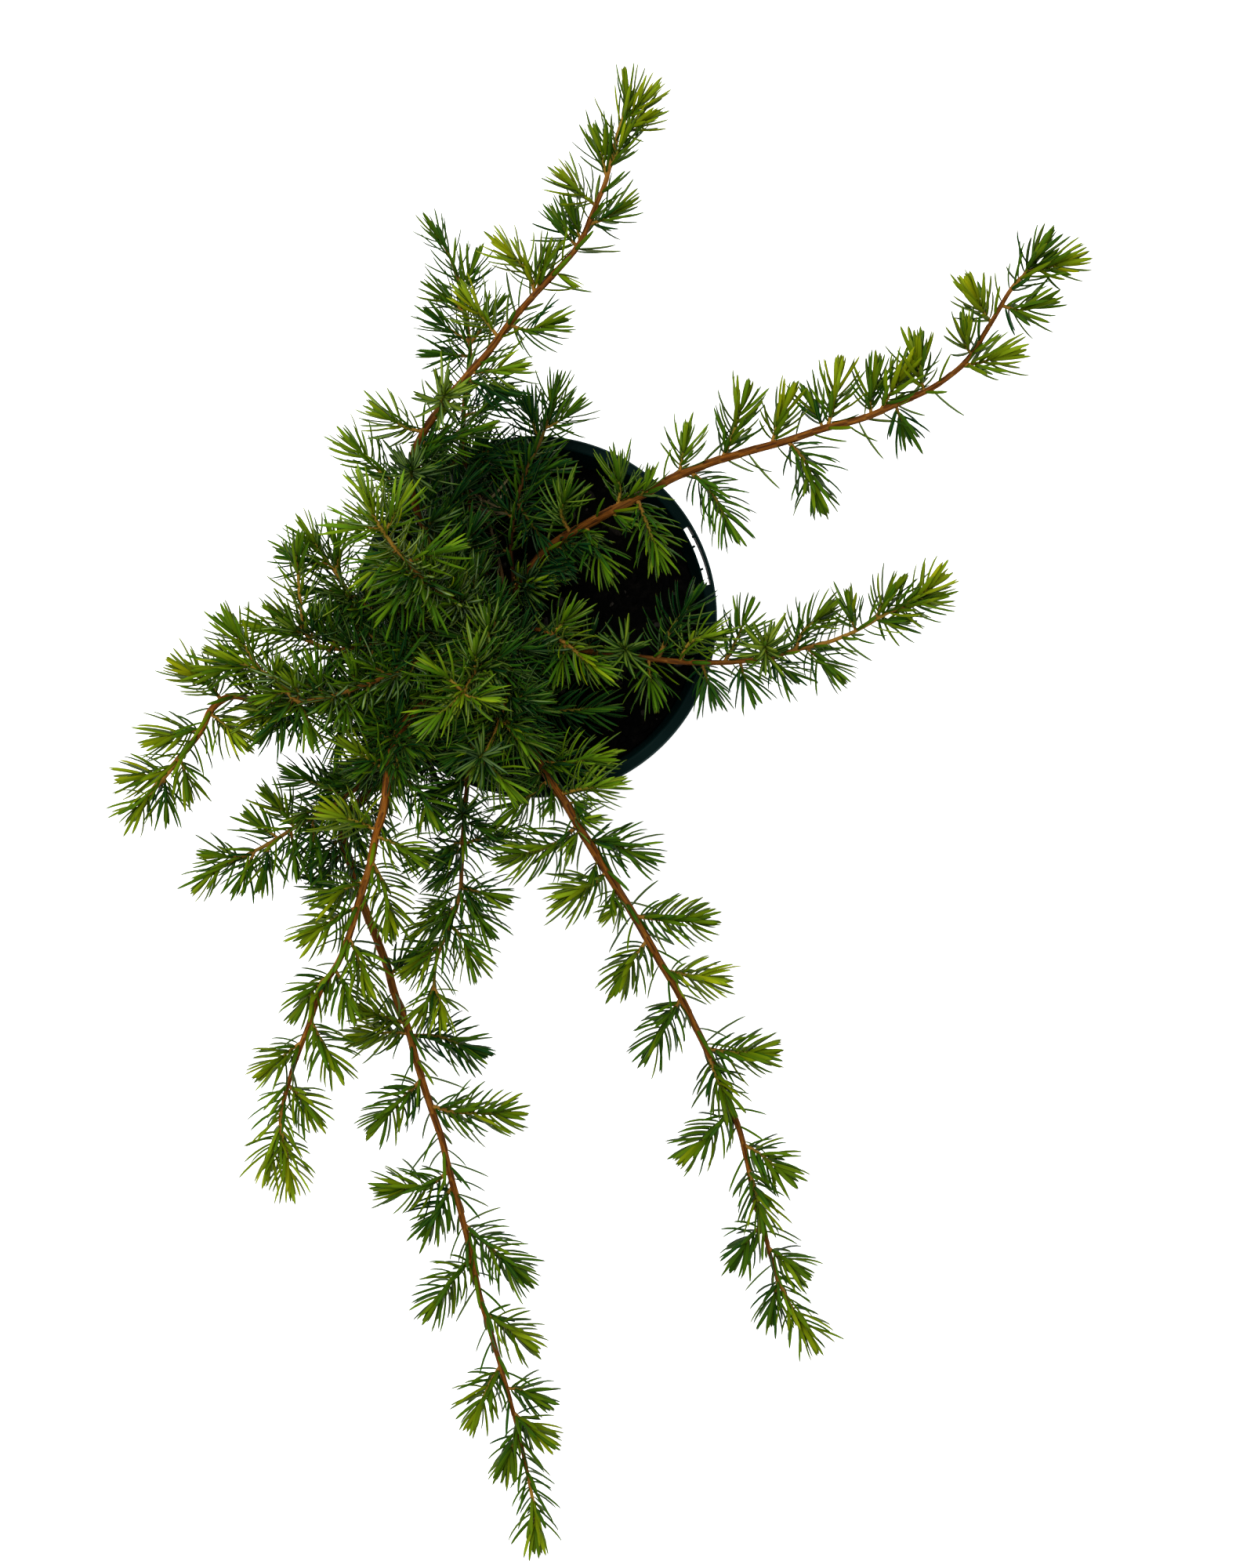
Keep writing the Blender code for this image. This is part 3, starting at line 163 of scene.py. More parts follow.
# painted light and shade: how bright each side shoot's needles are, lit shoots brighter and shoots deep in the plant
# darker, in the order of SHOOTS
LIT_AND_SHADED_TONES = {
    "northeast": (.75, .85, .7, .8, .6, .7, .55, .5, .8, .5, .6, .8, .7, .35, .85, .65, .9, .6, .55, .8, .6),
    "southeast": (.8, .95, .5, .8, .6, .65, .85, .5, .65, .6, .6, .6, .6, .5, .65, .5, .65, .65, .65, .35),
    "south": (.7, .75, .3, .3, .55, .65, .6, .45, .5, .6, .7, .65, .55, .65, .6, .7, .2),
    "southwest": (.88, .88, .74, .69, .65, .65, .74, .65, .65, .78, .69, .65, .83, .83, .65, .5),
    "north": (.7, .95, .85, .65, .6, .9, .6, .55, .5, .95, .7, .6, .9, .9, .4, .85, .6, .9, .5, .7, .2, .3),
    "east": (.9, .7, .6, .6, .6, .6, .55, .8, .4, .45, .5, .35, .85, .6, .6, .3),
    "west": (.8, .8, .8, .85, .7, .75, .5, .3),
    "north_low": (.55, .5, .45, .35, .45, .35, .25, .3, .55),
    "west_high": (.9, .65, .55, .4, .6, .6),
    "west_low": (.75, .6, .55, .6, .55, .5, .4, .4, .3),
    "midsouth": (.25, .34, .34, .5, .5, .58, .58, .62, .76, .72, .26),
    "northwest_high": (1.0, .8, .7, .7, .55, .5, .8),
    "northwest_low": (.85, .7, .45, .35, .5),
    "west_mid": (.65, .75, .75, .5, .5),
    "inner_north": (.6, .65, .25, .2, .35, .2, .8),
    "inner_east": (.80, .72, .62),
    "crown": (.76, .84, .78, .80, .68),
    "crown_south": (.80, .45, .70, .5),
}

# long single needles: stem, grid x and y of the base and of the point, rise in mm
LONG_NEEDLES = (
    ("southeast", 808, 1165, 777, 1217, 4), ("southeast", 815, 1150, 840, 1120, 5), ("southeast", 865, 1280, 820, 1285, 3), ("southeast", 905, 1330, 952, 1293, 5),
    ("southeast", 985, 1555, 1025, 1583, 2), ("southeast", 960, 1560, 920, 1578, 2), ("southeast", 980, 1615, 950, 1648, 1), ("southeast", 980, 1645, 955, 1688, 0),
    ("south", 540, 1370, 595, 1390, 4), ("south", 556, 1450, 520, 1500, 3), ("south", 577, 1480, 625, 1503, 4), ("south", 590, 1520, 625, 1540, 3), ("south", 600, 1560, 640, 1538, 4),
    ("south", 605, 1640, 582, 1688, 2), ("south", 675, 1850, 703, 1883, 1), ("south", 680, 1868, 709, 1895, 0), ("south", 665, 1840, 640, 1868, 2),
    ("north", 655, 400, 645, 345, 5), ("north", 700, 360, 758, 372, 3), ("north", 735, 318, 795, 320, 3), ("north", 740, 320, 787, 312, 5), ("north", 703, 357, 716, 303, 5), ("north", 770, 225, 748, 137, 8),
    ("northeast", 1095, 537, 1128, 588, 2), ("northeast", 1190, 500, 1232, 532, 2), ("northeast", 955, 580, 997, 625, 2), ("northeast", 925, 590, 963, 603, 4),
    ("northeast", 1245, 445, 1228, 412, 4), ("northeast", 1262, 405, 1225, 408, 3), ("northeast", 1300, 360, 1283, 340, 4),
    ("east", 1075, 820, 1113, 845, 2), ("west", 215, 975, 155, 993, 3), ("west", 245, 935, 180, 907, 5),
)

# mm: stems whose wood stays thick to the end
WIDE_END = {"west": 1.25}

BARE = 24.0                     # mm of each stem next to the trunk without needles
FILL_SHOOTS = 190
FILL_STEMS = ("north", "north_low", "west", "west_high", "west_low", "west_mid", "northwest_low", "northwest_high", "midsouth", "crown", "crown_south", "inner_north", "southwest", "south")
CHIPS = 1500
WIDER = {"southeast": 0.48, "south": 0.46, "northeast": 0.48, "southwest": 0.28, "west": 0.22, "west_low": 0.20, "east": 0.16, "north": 0.02, "north_low": -0.10}
# how far the needles of a stem's shoots stand off, as a share of the usual angle
SPLAY = {"northeast": 0.84, "south": 0.92, "southeast": 0.92, "north": 0.88, "north_low": 0.92}
BIGGER = {("southeast", 735, 1138): 1.22, ("southeast", 665, 1090): 1.12, ("southeast", 658, 1030): 1.12, ("southeast", 808, 1088): 1.10, ("south", 655, 1618): 1.10, ("northwest_high", 507, 648): 1.08}
# open places in the foliage: grid centre x and y, half width, half height
OPEN_PLACES = ((820, 745, 92, 82), (630, 640, 46, 50), (850, 900, 60, 50), (652, 700, 34, 42), (790, 560, 90, 40), (735, 640, 60, 40))
# stem, share of its length from and to, number of short shoots, their darkest and
# fairest tone as painted shade and light, and their reach in mm
COVER = (
    ("west", 0.14, 0.64, 26, 0.34, 0.68, 13.0), ("west_high", 0.10, 0.90, 15, 0.42, 0.70, 11.0), ("west_low", 0.10, 0.72, 15, 0.26, 0.52, 12.0),
    ("west_mid", 0.12, 0.80, 12, 0.32, 0.60, 12.0), ("southwest", 0.08, 0.33, 22, 0.28, 0.62, 14.0), ("south", 0.08, 0.30, 30, 0.14, 0.42, 14.0),
    ("midsouth", 0.06, 0.80, 18, 0.25, 0.50, 11.0), ("southeast", 0.05, 0.22, 14, 0.20, 0.52, 12.0), ("southeast", 0.20, 0.42, 9, 0.40, 0.64, 7.5), ("northeast", 0.06, 0.19, 10, 0.12, 0.34, 11.0),
    ("north", 0.08, 0.36, 14, 0.24, 0.50, 12.0), ("north", 0.72, 0.97, 5, 0.65, 0.85, 4.0), ("north_low", 0.12, 0.36, 4, 0.15, 0.32, 9.0), ("northwest_high", 0.12, 0.70, 14, 0.40, 0.66, 11.0),
    ("northwest_low", 0.12, 0.80, 11, 0.30, 0.56, 11.0), ("crown", 0.25, 0.80, 8, 0.40, 0.66, 9.0), ("crown_south", 0.20, 0.80, 9, 0.30, 0.55, 10.0),
    ("east", 0.10, 0.30, 6, 0.15, 0.34, 9.0), ("inner_north", 0.15, 0.80, 8, 0.15, 0.34, 10.0),
    ("northeast", 0.20, 0.35, 4, 0.50, 0.72, 7.0),
)

# share of each stem's length beyond which it is leafy like a side shoot
LEAFY_FROM = {
    "northeast": 0.955, "southeast": 0.955, "south": 0.965, "southwest": 0.90, "north": 0.93, "east": 0.62, "west": 0.80,
    "north_low": 0.40, "west_high": 0.42, "west_low": 0.50, "midsouth": 0.36, "northwest_high": 0.16, "northwest_low": 0.45,
    "west_mid": 0.42, "inner_north": 0.36, "inner_east": 0.45, "crown": 0.35, "crown_south": 0.40,
}
LEAFY_SPACING = {"northwest_high": 1.25, "crown": 1.5, "west_high": 2.0, "inner_east": 1.7, "northwest_low": 2.2, "east": 3.4, "west": 3.6, "midsouth": 3.4, "west_low": 3.4, "north_low": 2.8}
NODE_GAP = {"northeast": 9.5, "southeast": 10.0, "south": 10.5, "southwest": 9.5, "north": 9.0, "east": 7.0, "west": 8.0}
LOST = {"northeast": 0.52, "southeast": 0.48, "south": 0.46, "southwest": 0.58, "north": 0.46, "east": 0.35, "west": 0.45}
BAND = {"northwest_high": 0.55, "west_high": 0.55, "north": 0.38, "north_low": 0.40, "crown": 0.42, "crown_south": 0.36, "inner_east": 0.36, "west": 0.30, "west_mid": 0.36, "northwest_low": 0.36, "east": 0.30, "inner_north": 0.34}
# painted shade and light on the wood: how dark it is at its start near the trunk, how light further out, and where the
# change ends
WOOD_SHADE_AND_LIGHT = {
    "south": (0.10, 1.15, 0.36), "north_low": (0.25, 0.5, 0.5), "midsouth": (0.2, 0.75, 0.5), "inner_north": (0.10, 0.30, 0.7), "north": (0.22, 1.05, 0.45), "inner_east": (0.25, 0.9, 0.4), "west": (0.25, 1.45, 0.45), "east": (0.3, 0.9, 0.4), "crown": (0.2, 0.8, 0.5),
    "west_low": (0.25, 0.6, 0.6), "southeast": (0.35, 1.0, 0.22), "northeast": (0.14, 1.05, 0.30), "southwest": (0.4, 1.45, 0.40),
}
# share of each stem from which its wood is young
YOUNG_FROM = {
    "northeast": 0.93, "southeast": 0.95, "south": 0.95, "southwest": 0.90, "north": 0.85, "east": 0.50, "west": 0.84, "north_low": 0.5,
    "west_high": 0.35, "west_low": 0.5, "midsouth": 0.55, "northwest_high": 0.25, "northwest_low": 0.4, "west_mid": 0.4,
    "inner_north": 0.5, "inner_east": 0.3, "crown": 0.3, "crown_south": 0.3,
}

# ---- colours (linear) ------------------------------------------------------
# needle greens from the darkest, painted shade deep in the plant, to the brightest, painted light on lit shoots
NEEDLE_GREENS = [(0.0, (0.0008, 0.0105, 0.0030)), (0.25, (0.0042, 0.0305, 0.0054)), (0.5, (0.0290, 0.0775, 0.0026)), (0.75, (0.0920, 0.1510, 0.0024)), (1.0, (0.2000, 0.2720, 0.0080))]
BARK_BROWNS = [(0.28, (0.028, 0.0078, 0.0012)), (0.48, (0.112, 0.0345, 0.0030)), (0.62, (0.195, 0.0680, 0.0060)), (0.82, (0.330, 0.1480, 0.0240))]
POT_DARK = (0.0005, 0.0050, 0.0046)
POT_PALE = (0.0016, 0.0080, 0.0078)
WORLD_LIGHT = 0.60
LAMPS = (
    ("key", (-0.35, 0.45, 1.75), (0.0, 0.0, 0.15), 1.5, 34.0, (1.0, 0.985, 0.96)),
)

# ---- placing ---------------------------------------------------------------
def at(gx, gy, z):
    """The place in mm of a grid point at a height in mm."""
    shrink = (EYE_ABOVE_RIM + POT_HEIGHT - z) / EYE_ABOVE_RIM
    ex = (GRID_EYE[0] - GRID_AXIS[0]) * UNIT
    ey = -(GRID_EYE[1] - GRID_AXIS[1]) * UNIT
    return np.array((ex + (gx - GRID_EYE[0]) * UNIT * shrink, ey - (gy - GRID_EYE[1]) * UNIT * shrink, float(z)))


def unit(v):
    v = np.asarray(v, float)
    return v / np.maximum(np.linalg.norm(v, axis=-1, keepdims=True), 1e-12)


def smooth_path(points, step):
    """A Catmull-Rom curve through the points, with a point about every step mm."""
    p = np.array(points, float)
    if len(p) == 2:
        n = max(2, int(np.linalg.norm(p[1] - p[0]) / step) + 1)
        return p[0] + (p[1] - p[0]) * np.linspace(0, 1, n)[:, None]
    p = np.vstack((2 * p[0] - p[1], p, 2 * p[-1] - p[-2]))
    knots = np.concatenate(([0.0], np.cumsum(np.linalg.norm(np.diff(p, axis=0), axis=1) ** 0.5)))
    out = []
    for i in range(1, len(p) - 2):
        k0, k1, k2, k3 = knots[i - 1:i + 3]
        for t in np.linspace(k1, k2, 14, endpoint=False):
            a1 = (k1 - t) / (k1 - k0) * p[i - 1] + (t - k0) / (k1 - k0) * p[i]
            a2 = (k2 - t) / (k2 - k1) * p[i] + (t - k1) / (k2 - k1) * p[i + 1]
            a3 = (k3 - t) / (k3 - k2) * p[i + 1] + (t - k2) / (k3 - k2) * p[i + 2]
            b1 = (k2 - t) / (k2 - k0) * a1 + (t - k0) / (k2 - k0) * a2
            b2 = (k3 - t) / (k3 - k1) * a2 + (t - k1) / (k3 - k1) * a3
            out.append((k2 - t) / (k2 - k1) * b1 + (t - k1) / (k2 - k1) * b2)
    out.append(p[-2])
    out = np.array(out)
    run = np.concatenate(([0.0], np.cumsum(np.linalg.norm(np.diff(out, axis=0), axis=1))))
    n = max(3, int(run[-1] / step) + 1)
    want = np.linspace(0, run[-1], n)
    return np.stack([np.interp(want, run, out[:, k]) for k in range(3)], axis=1)


class Line:
    """A path in mm with its run, its tangents and a frame that doesn't twist."""

    def __init__(self, points, radius):
        self.p = points
        self.run = np.concatenate(([0.0], np.cumsum(np.linalg.norm(np.diff(points, axis=0), axis=1))))
        self.length = self.run[-1]
        self.r = np.interp(self.run / self.length, np.linspace(0, 1, len(radius)), radius) if len(radius) != len(points) else np.asarray(radius, float)
        self.t = unit(np.gradient(points, axis=0))
        side = np.cross(self.t[0], (0.0, 0.0, 1.0))
        if np.linalg.norm(side) < 0.2:
            side = np.cross(self.t[0], (0.0, 1.0, 0.0))
        n = unit(np.cross(unit(side), self.t[0]))
        ns = [n]
        for k in range(1, len(points)):
            n = ns[-1] - self.t[k] * float(ns[-1] @ self.t[k])
            ns.append(unit(n))
        self.n = np.array(ns)
        self.b = np.cross(self.t, self.n)

    def where(self, s):
        """Place, tangent, normal, binormal and radius at a run."""
        x = float(np.clip(s, 0, self.length))
        pick = lambda a: np.array([np.interp(x, self.run, a[:, k]) for k in range(3)])
        return pick(self.p), unit(pick(self.t)), unit(pick(self.n)), unit(pick(self.b)), float(np.interp(x, self.run, self.r))

    def under(self, gx, gy):
        """The run of the point that a grid point lies over."""
        shrink = (EYE_ABOVE_RIM + POT_HEIGHT - self.p[:, 2]) / EYE_ABOVE_RIM
        ex = (GRID_EYE[0] - GRID_AXIS[0]) * UNIT
        ey = -(GRID_EYE[1] - GRID_AXIS[1]) * UNIT
        gx_here = GRID_EYE[0] + (self.p[:, 0] - ex) / (UNIT * shrink)
        gy_here = GRID_EYE[1] - (self.p[:, 1] - ey) / (UNIT * shrink)
        return float(self.run[np.argmin((gx_here - gx) ** 2 + (gy_here - gy) ** 2)])


# ---- meshes ----------------------------------------------------------------
class Mesh:
    """Collects tubes with their attributes, and makes one object of them."""

    def __init__(self):
        self.verts, self.faces, self.grain, self.bark = [], [], [], []
        self.count = 0

    def tube(self, line, sides, shape=None, bark=None, seed=0.0, close_tip=True):
        """shape(run, angle) gives a factor on the radius and the groove's depth, which also paints shade in the
        furrows;
        bark(run) gives (node, youth, tone) for the whole ring, the tone being painted shade and light."""
        angle = np.arange(sides) * math.tau / sides
        n = len(line.p)
        run = line.run[:, None].repeat(sides, 1)
        turn = angle[None, :].repeat(n, 0)
        factor, groove = (np.ones_like(run), np.zeros_like(run)) if shape is None else shape(run, turn)
        radius = line.r[:, None] * factor
        ring = line.p[:, None, :] + radius[..., None] * (np.cos(turn)[..., None] * line.n[:, None, :] + np.sin(turn)[..., None] * line.b[:, None, :])
        verts = ring.reshape(-1, 3)
        first = self.count
        index = first + np.arange(n * sides).reshape(n, sides)
        nxt = np.roll(index, -1, axis=1)
        quads = np.stack((index[:-1], nxt[:-1], nxt[1:], index[1:]), axis=-1).reshape(-1, 4)
        self.faces.extend(quads.tolist())
        node, youth, tone = bark(run, turn) if bark is not None else (np.zeros_like(run), np.zeros_like(run), np.ones_like(run))
        grain = np.stack((np.cos(turn) * line.r[:, None] + seed * 17.3, np.sin(turn) * line.r[:, None] + seed * 7.1, run), axis=-1).reshape(-1, 3)
        self.verts.append(verts)
        self.grain.append(grain)
        self.bark.append(np.stack((groove, node, youth, tone), axis=-1).reshape(-1, 4))
        ends = np.array([line.p[0] - line.t[0] * line.r[0] * 0.3, line.p[-1] + line.t[-1] * line.r[-1] * 0.9])
        self.verts.append(ends)
        self.grain.append(np.array([grain[0], grain[-1]]))
        self.bark.append(np.array([[0, 0, youth[0, 0], tone[0, 0]], [0, 0, youth[-1, 0], tone[-1, 0]]], float))
        a, b = first + n * sides, first + n * sides + 1
        for k in range(sides):
            self.faces.append([int(index[0, (k + 1) % sides]), int(index[0, k]), a])
            self.faces.append([int(index[-1, k]), int(index[-1, (k + 1) % sides]), b])
        self.count += n * sides + 2

    def make(self, name, look):
        mesh = bpy.data.meshes.new(name)
        mesh.from_pydata((np.vstack(self.verts) * MM).tolist(), [], self.faces)
        grain = mesh.attributes.new("grain", "FLOAT_VECTOR", "POINT")
        grain.data.foreach_set("vector", np.vstack(self.grain).astype(np.float32).ravel())
        bark = mesh.attributes.new("bark", "FLOAT_COLOR", "POINT")
        bark.data.foreach_set("color", np.vstack(self.bark).astype(np.float32).ravel())
        mesh.shade_smooth()
        mesh.materials.append(look)
        mesh.update()
        return show(name, mesh)


def show(name, mesh):
    made = bpy.data.objects.new(name, mesh)
    bpy.context.scene.collection.objects.link(made)
    return made


RINGS = np.array((0.0, 0.09, 0.28, 0.54, 0.78, 0.925))
WIDE = np.array((0.55, 0.86, 1.0, 1.0, 0.86, 0.52))


class Needles:
    """Collects needles as rows, and makes one object of them."""

    def __init__(self):
        self.rows = []

    def add(self, base, start, end, up, length, width, tone, chance, band):
        # a needle that would go through the pot's rim or wall isn't there
        for share in (0.25, 0.5, 0.75, 1.0):
            x, y, z = (base[k] + length * (start[k] * (share - share * share / 2) + end[k] * share * share / 2) for k in range(3))
            if 75.0 < math.hypot(x, y) < 84.5 and z < POT_HEIGHT + 1.0:
                return
        self.rows.append((*base, *start, *end, *up, length, width, tone, chance, band))

    def make(self, name, look):
        a = np.array(self.rows, float)
        n = len(a)
        base, d0, d1, up = a[:, 0:3], unit(a[:, 3:6]), unit(a[:, 6:9]), unit(a[:, 9:12])
        length, width, tone, chance, band = (a[:, k] for k in range(12, 17))
        t = RINGS[None, :, None]
        centre = base[:, None] + length[:, None, None] * (d0[:, None] * (t - t * t / 2) + d1[:, None] * t * t / 2)
        tangent = unit(d0[:, None] * (1 - t) + d1[:, None] * t)
        side = unit(np.cross(up[:, None].repeat(len(RINGS), 1), tangent))
        normal = np.cross(tangent, side)
        half = 0.5 * width[:, None, None] * WIDE[None, :, None]
        rings = np.stack((centre - side * half, centre - normal * half * 0.85, centre + side * half, centre - normal * half * 0.10 + normal * 0.02), axis=2)
        tip = base + length[:, None] * (d0 * 0.5 + d1 * 0.5)
        verts = np.concatenate((rings.reshape(n, -1, 3), tip[:, None]), axis=1)
        m = len(RINGS)
        own = 4 * m + 1
        quads = []
        for i in range(m - 1):
            for j in range(4):
                quads.append((4 * i + j, 4 * i + (j + 1) % 4, 4 * i + 4 + (j + 1) % 4, 4 * i + 4 + j))
        quads.append((3, 2, 1, 0))
        tris = [(4 * (m - 1) + j, 4 * (m - 1) + (j + 1) % 4, 4 * m) for j in range(4)]
        offset = (np.arange(n) * own)[:, None, None]
        quads = (np.array(quads)[None] + offset).reshape(n, -1)
        tris = (np.array(tris)[None] + offset).reshape(n, -1)
        loops = np.concatenate((quads, tris), axis=1).ravel()
        sizes = np.array([4] * (4 * (m - 1) + 1) + [3] * 4)
        starts_own = np.concatenate(([0], np.cumsum(sizes)[:-1]))
        per = int(sizes.sum())
        starts = (starts_own[None] + (np.arange(n) * per)[:, None]).ravel()
        mesh = bpy.data.meshes.new(name)
        mesh.vertices.add(n * own)
        mesh.vertices.foreach_set("co", (verts.reshape(-1, 3) * MM).astype(np.float32).ravel())
        mesh.loops.add(len(loops))
        mesh.loops.foreach_set("vertex_index", loops.astype(np.int32))
        mesh.polygons.add(len(starts))
        mesh.polygons.foreach_set("loop_start", starts.astype(np.int32))
        mesh.update(calc_edges=True)
        mesh.validate()
        # Each needle's own strip: across it (0 to 0.5 below, 0.5 to 1 above) and along it.
        across, along = [], []
        for i in range(m - 1):
            for j in range(4):
                across += [j / 4, (j + 1) / 4, (j + 1) / 4, j / 4]
                along += [RINGS[i], RINGS[i], RINGS[i + 1], RINGS[i + 1]]
        across += [0.02, 0.24, 0.26, 0.48]
        along += [0.0, 0.0, 0.01, 0.01]
        for j in range(4):
            across += [j / 4, (j + 1) / 4, (j + 0.5) / 4]
            along += [RINGS[-1], RINGS[-1], 1.0]
        across, along = np.array(across), np.array(along)
        strip = mesh.uv_layers.new(name="strip")
        strip.data.foreach_set("uv", np.stack((np.tile(across, n), np.tile(along, n)), axis=-1).astype(np.float32).ravel())
        columns = int(math.ceil(math.sqrt(n * 4.0)))
        lines = int(math.ceil(n / columns))
        column, line = np.arange(n) % columns, np.arange(n) // columns
        u = (column[:, None] + 0.05 + 0.90 * across[None]) / columns
        v = (line[:, None] + 0.03 + 0.94 * along[None]) / lines
        packed = mesh.uv_layers.new(name="OFBake")
        packed.data.foreach_set("uv", np.stack((u, v), axis=-1).astype(np.float32).ravel())
        tint = mesh.attributes.new("tint", "FLOAT_COLOR", "POINT")
        every = np.concatenate((np.repeat(RINGS, 4), [1.0]))
        colour = np.stack((np.repeat(tone, own), np.repeat(chance, own), np.tile(every, n), np.repeat(band, own)), axis=-1)
        tint.data.foreach_set("color", colour.astype(np.float32).ravel())
        lane = np.tile(np.concatenate((np.tile(np.arange(4), m), [-1])), n)
        ends = np.empty(len(mesh.edges) * 2, np.int32)
        mesh.edges.foreach_get("vertices", ends)
        ends = lane[ends.reshape(-1, 2)]
        sharp = (ends[:, 0] == ends[:, 1]) & ((ends[:, 0] == 0) | (ends[:, 0] == 2))
        mesh.shade_smooth()
        mark = mesh.attributes.get("sharp_edge") or mesh.attributes.new("sharp_edge", "BOOLEAN", "EDGE")
        mark.data.foreach_set("value", sharp)
        mesh.materials.append(look)
        mesh.update()
        return show(name, mesh)


# ---- materials -------------------------------------------------------------
class Net:
    """A material's node tree, with short calls for the nodes used here."""

    def __init__(self, name):
        self.material = bpy.data.materials.new(name)
        self.material.use_nodes = True
        self.tree = self.material.node_tree
        self.shader = self.tree.nodes["Principled BSDF"]

    def node(self, kind, inputs=(), **settings):
        made = self.tree.nodes.new(kind)
        for key, value in settings.items():
            setattr(made, key, value)
        for key, value in dict(inputs).items():
            self.put(made.inputs[key], value)
        return made

    def put(self, socket, value):
        if isinstance(value, bpy.types.NodeSocket):
            self.tree.links.new(value, socket)
        else:
            socket.default_value = value

    def attribute(self, name):
        return self.node("ShaderNodeAttribute", attribute_name=name, attribute_type="GEOMETRY")

    def parts(self, colour):
        split = self.node("ShaderNodeSeparateColor", {0: colour})
        return split.outputs[0], split.outputs[1], split.outputs[2]

    def math(self, operation, a, b=0.0, c=None, clamp=False):
        made = self.node("ShaderNodeMath", {0: a, 1: b}, operation=operation, use_clamp=clamp)
        if c is not None:
            self.put(made.inputs[2], c)
        return made.outputs[0]

    def mix(self, share, a, b, blend="MIX"):
        made = self.node("ShaderNodeMix", data_type="RGBA", blend_type=blend)
        self.put(made.inputs[0], share)
        self.put(made.inputs[6], a if isinstance(a, bpy.types.NodeSocket) else (*a, 1.0))
        self.put(made.inputs[7], b if isinstance(b, bpy.types.NodeSocket) else (*b, 1.0))
        return made.outputs[2]

    def ramp(self, value, stops, smooth=False):
        made = self.node("ShaderNodeValToRGB", {0: value})
        made.color_ramp.interpolation = "EASE" if smooth else "LINEAR"
        points = made.color_ramp.elements
        while len(points) < len(stops):
            points.new(0.5)
        for point, (place, colour) in zip(points, stops):
            point.position = place
            point.color = (*colour, 1.0) if isinstance(colour, tuple) else (colour, colour, colour, 1.0)
        return made.outputs[0]

    def span(self, value, a, b, c=0.0, d=1.0):
        made = self.node("ShaderNodeMapRange", {0: value, 1: a, 2: b, 3: c, 4: d})
        return made.outputs[0]

    def scaled(self, vector, scale):
        made = self.node("ShaderNodeMapping", {0: vector})
        made.inputs[3].default_value = scale
        return made.outputs[0]

    def noise(self, vector, scale, detail=2.0, roughness=0.5, colour=False):
        made = self.node("ShaderNodeTexNoise", {"Vector": vector, "Scale": scale, "Detail": detail, "Roughness": roughness})
        return made.outputs[1 if colour else 0]

    def bump(self, height, strength, distance, normal=None):
        made = self.node("ShaderNodeBump", {"Height": height, "Strength": strength, "Distance": distance})
        if normal is not None:
            self.put(made.inputs["Normal"], normal)
        self.put(self.shader.inputs["Normal"], made.outputs[0])
        return made.outputs[0]

    def set(self, **values):
        for key, value in values.items():
            self.put(self.shader.inputs[key.replace("_", " ")], value)


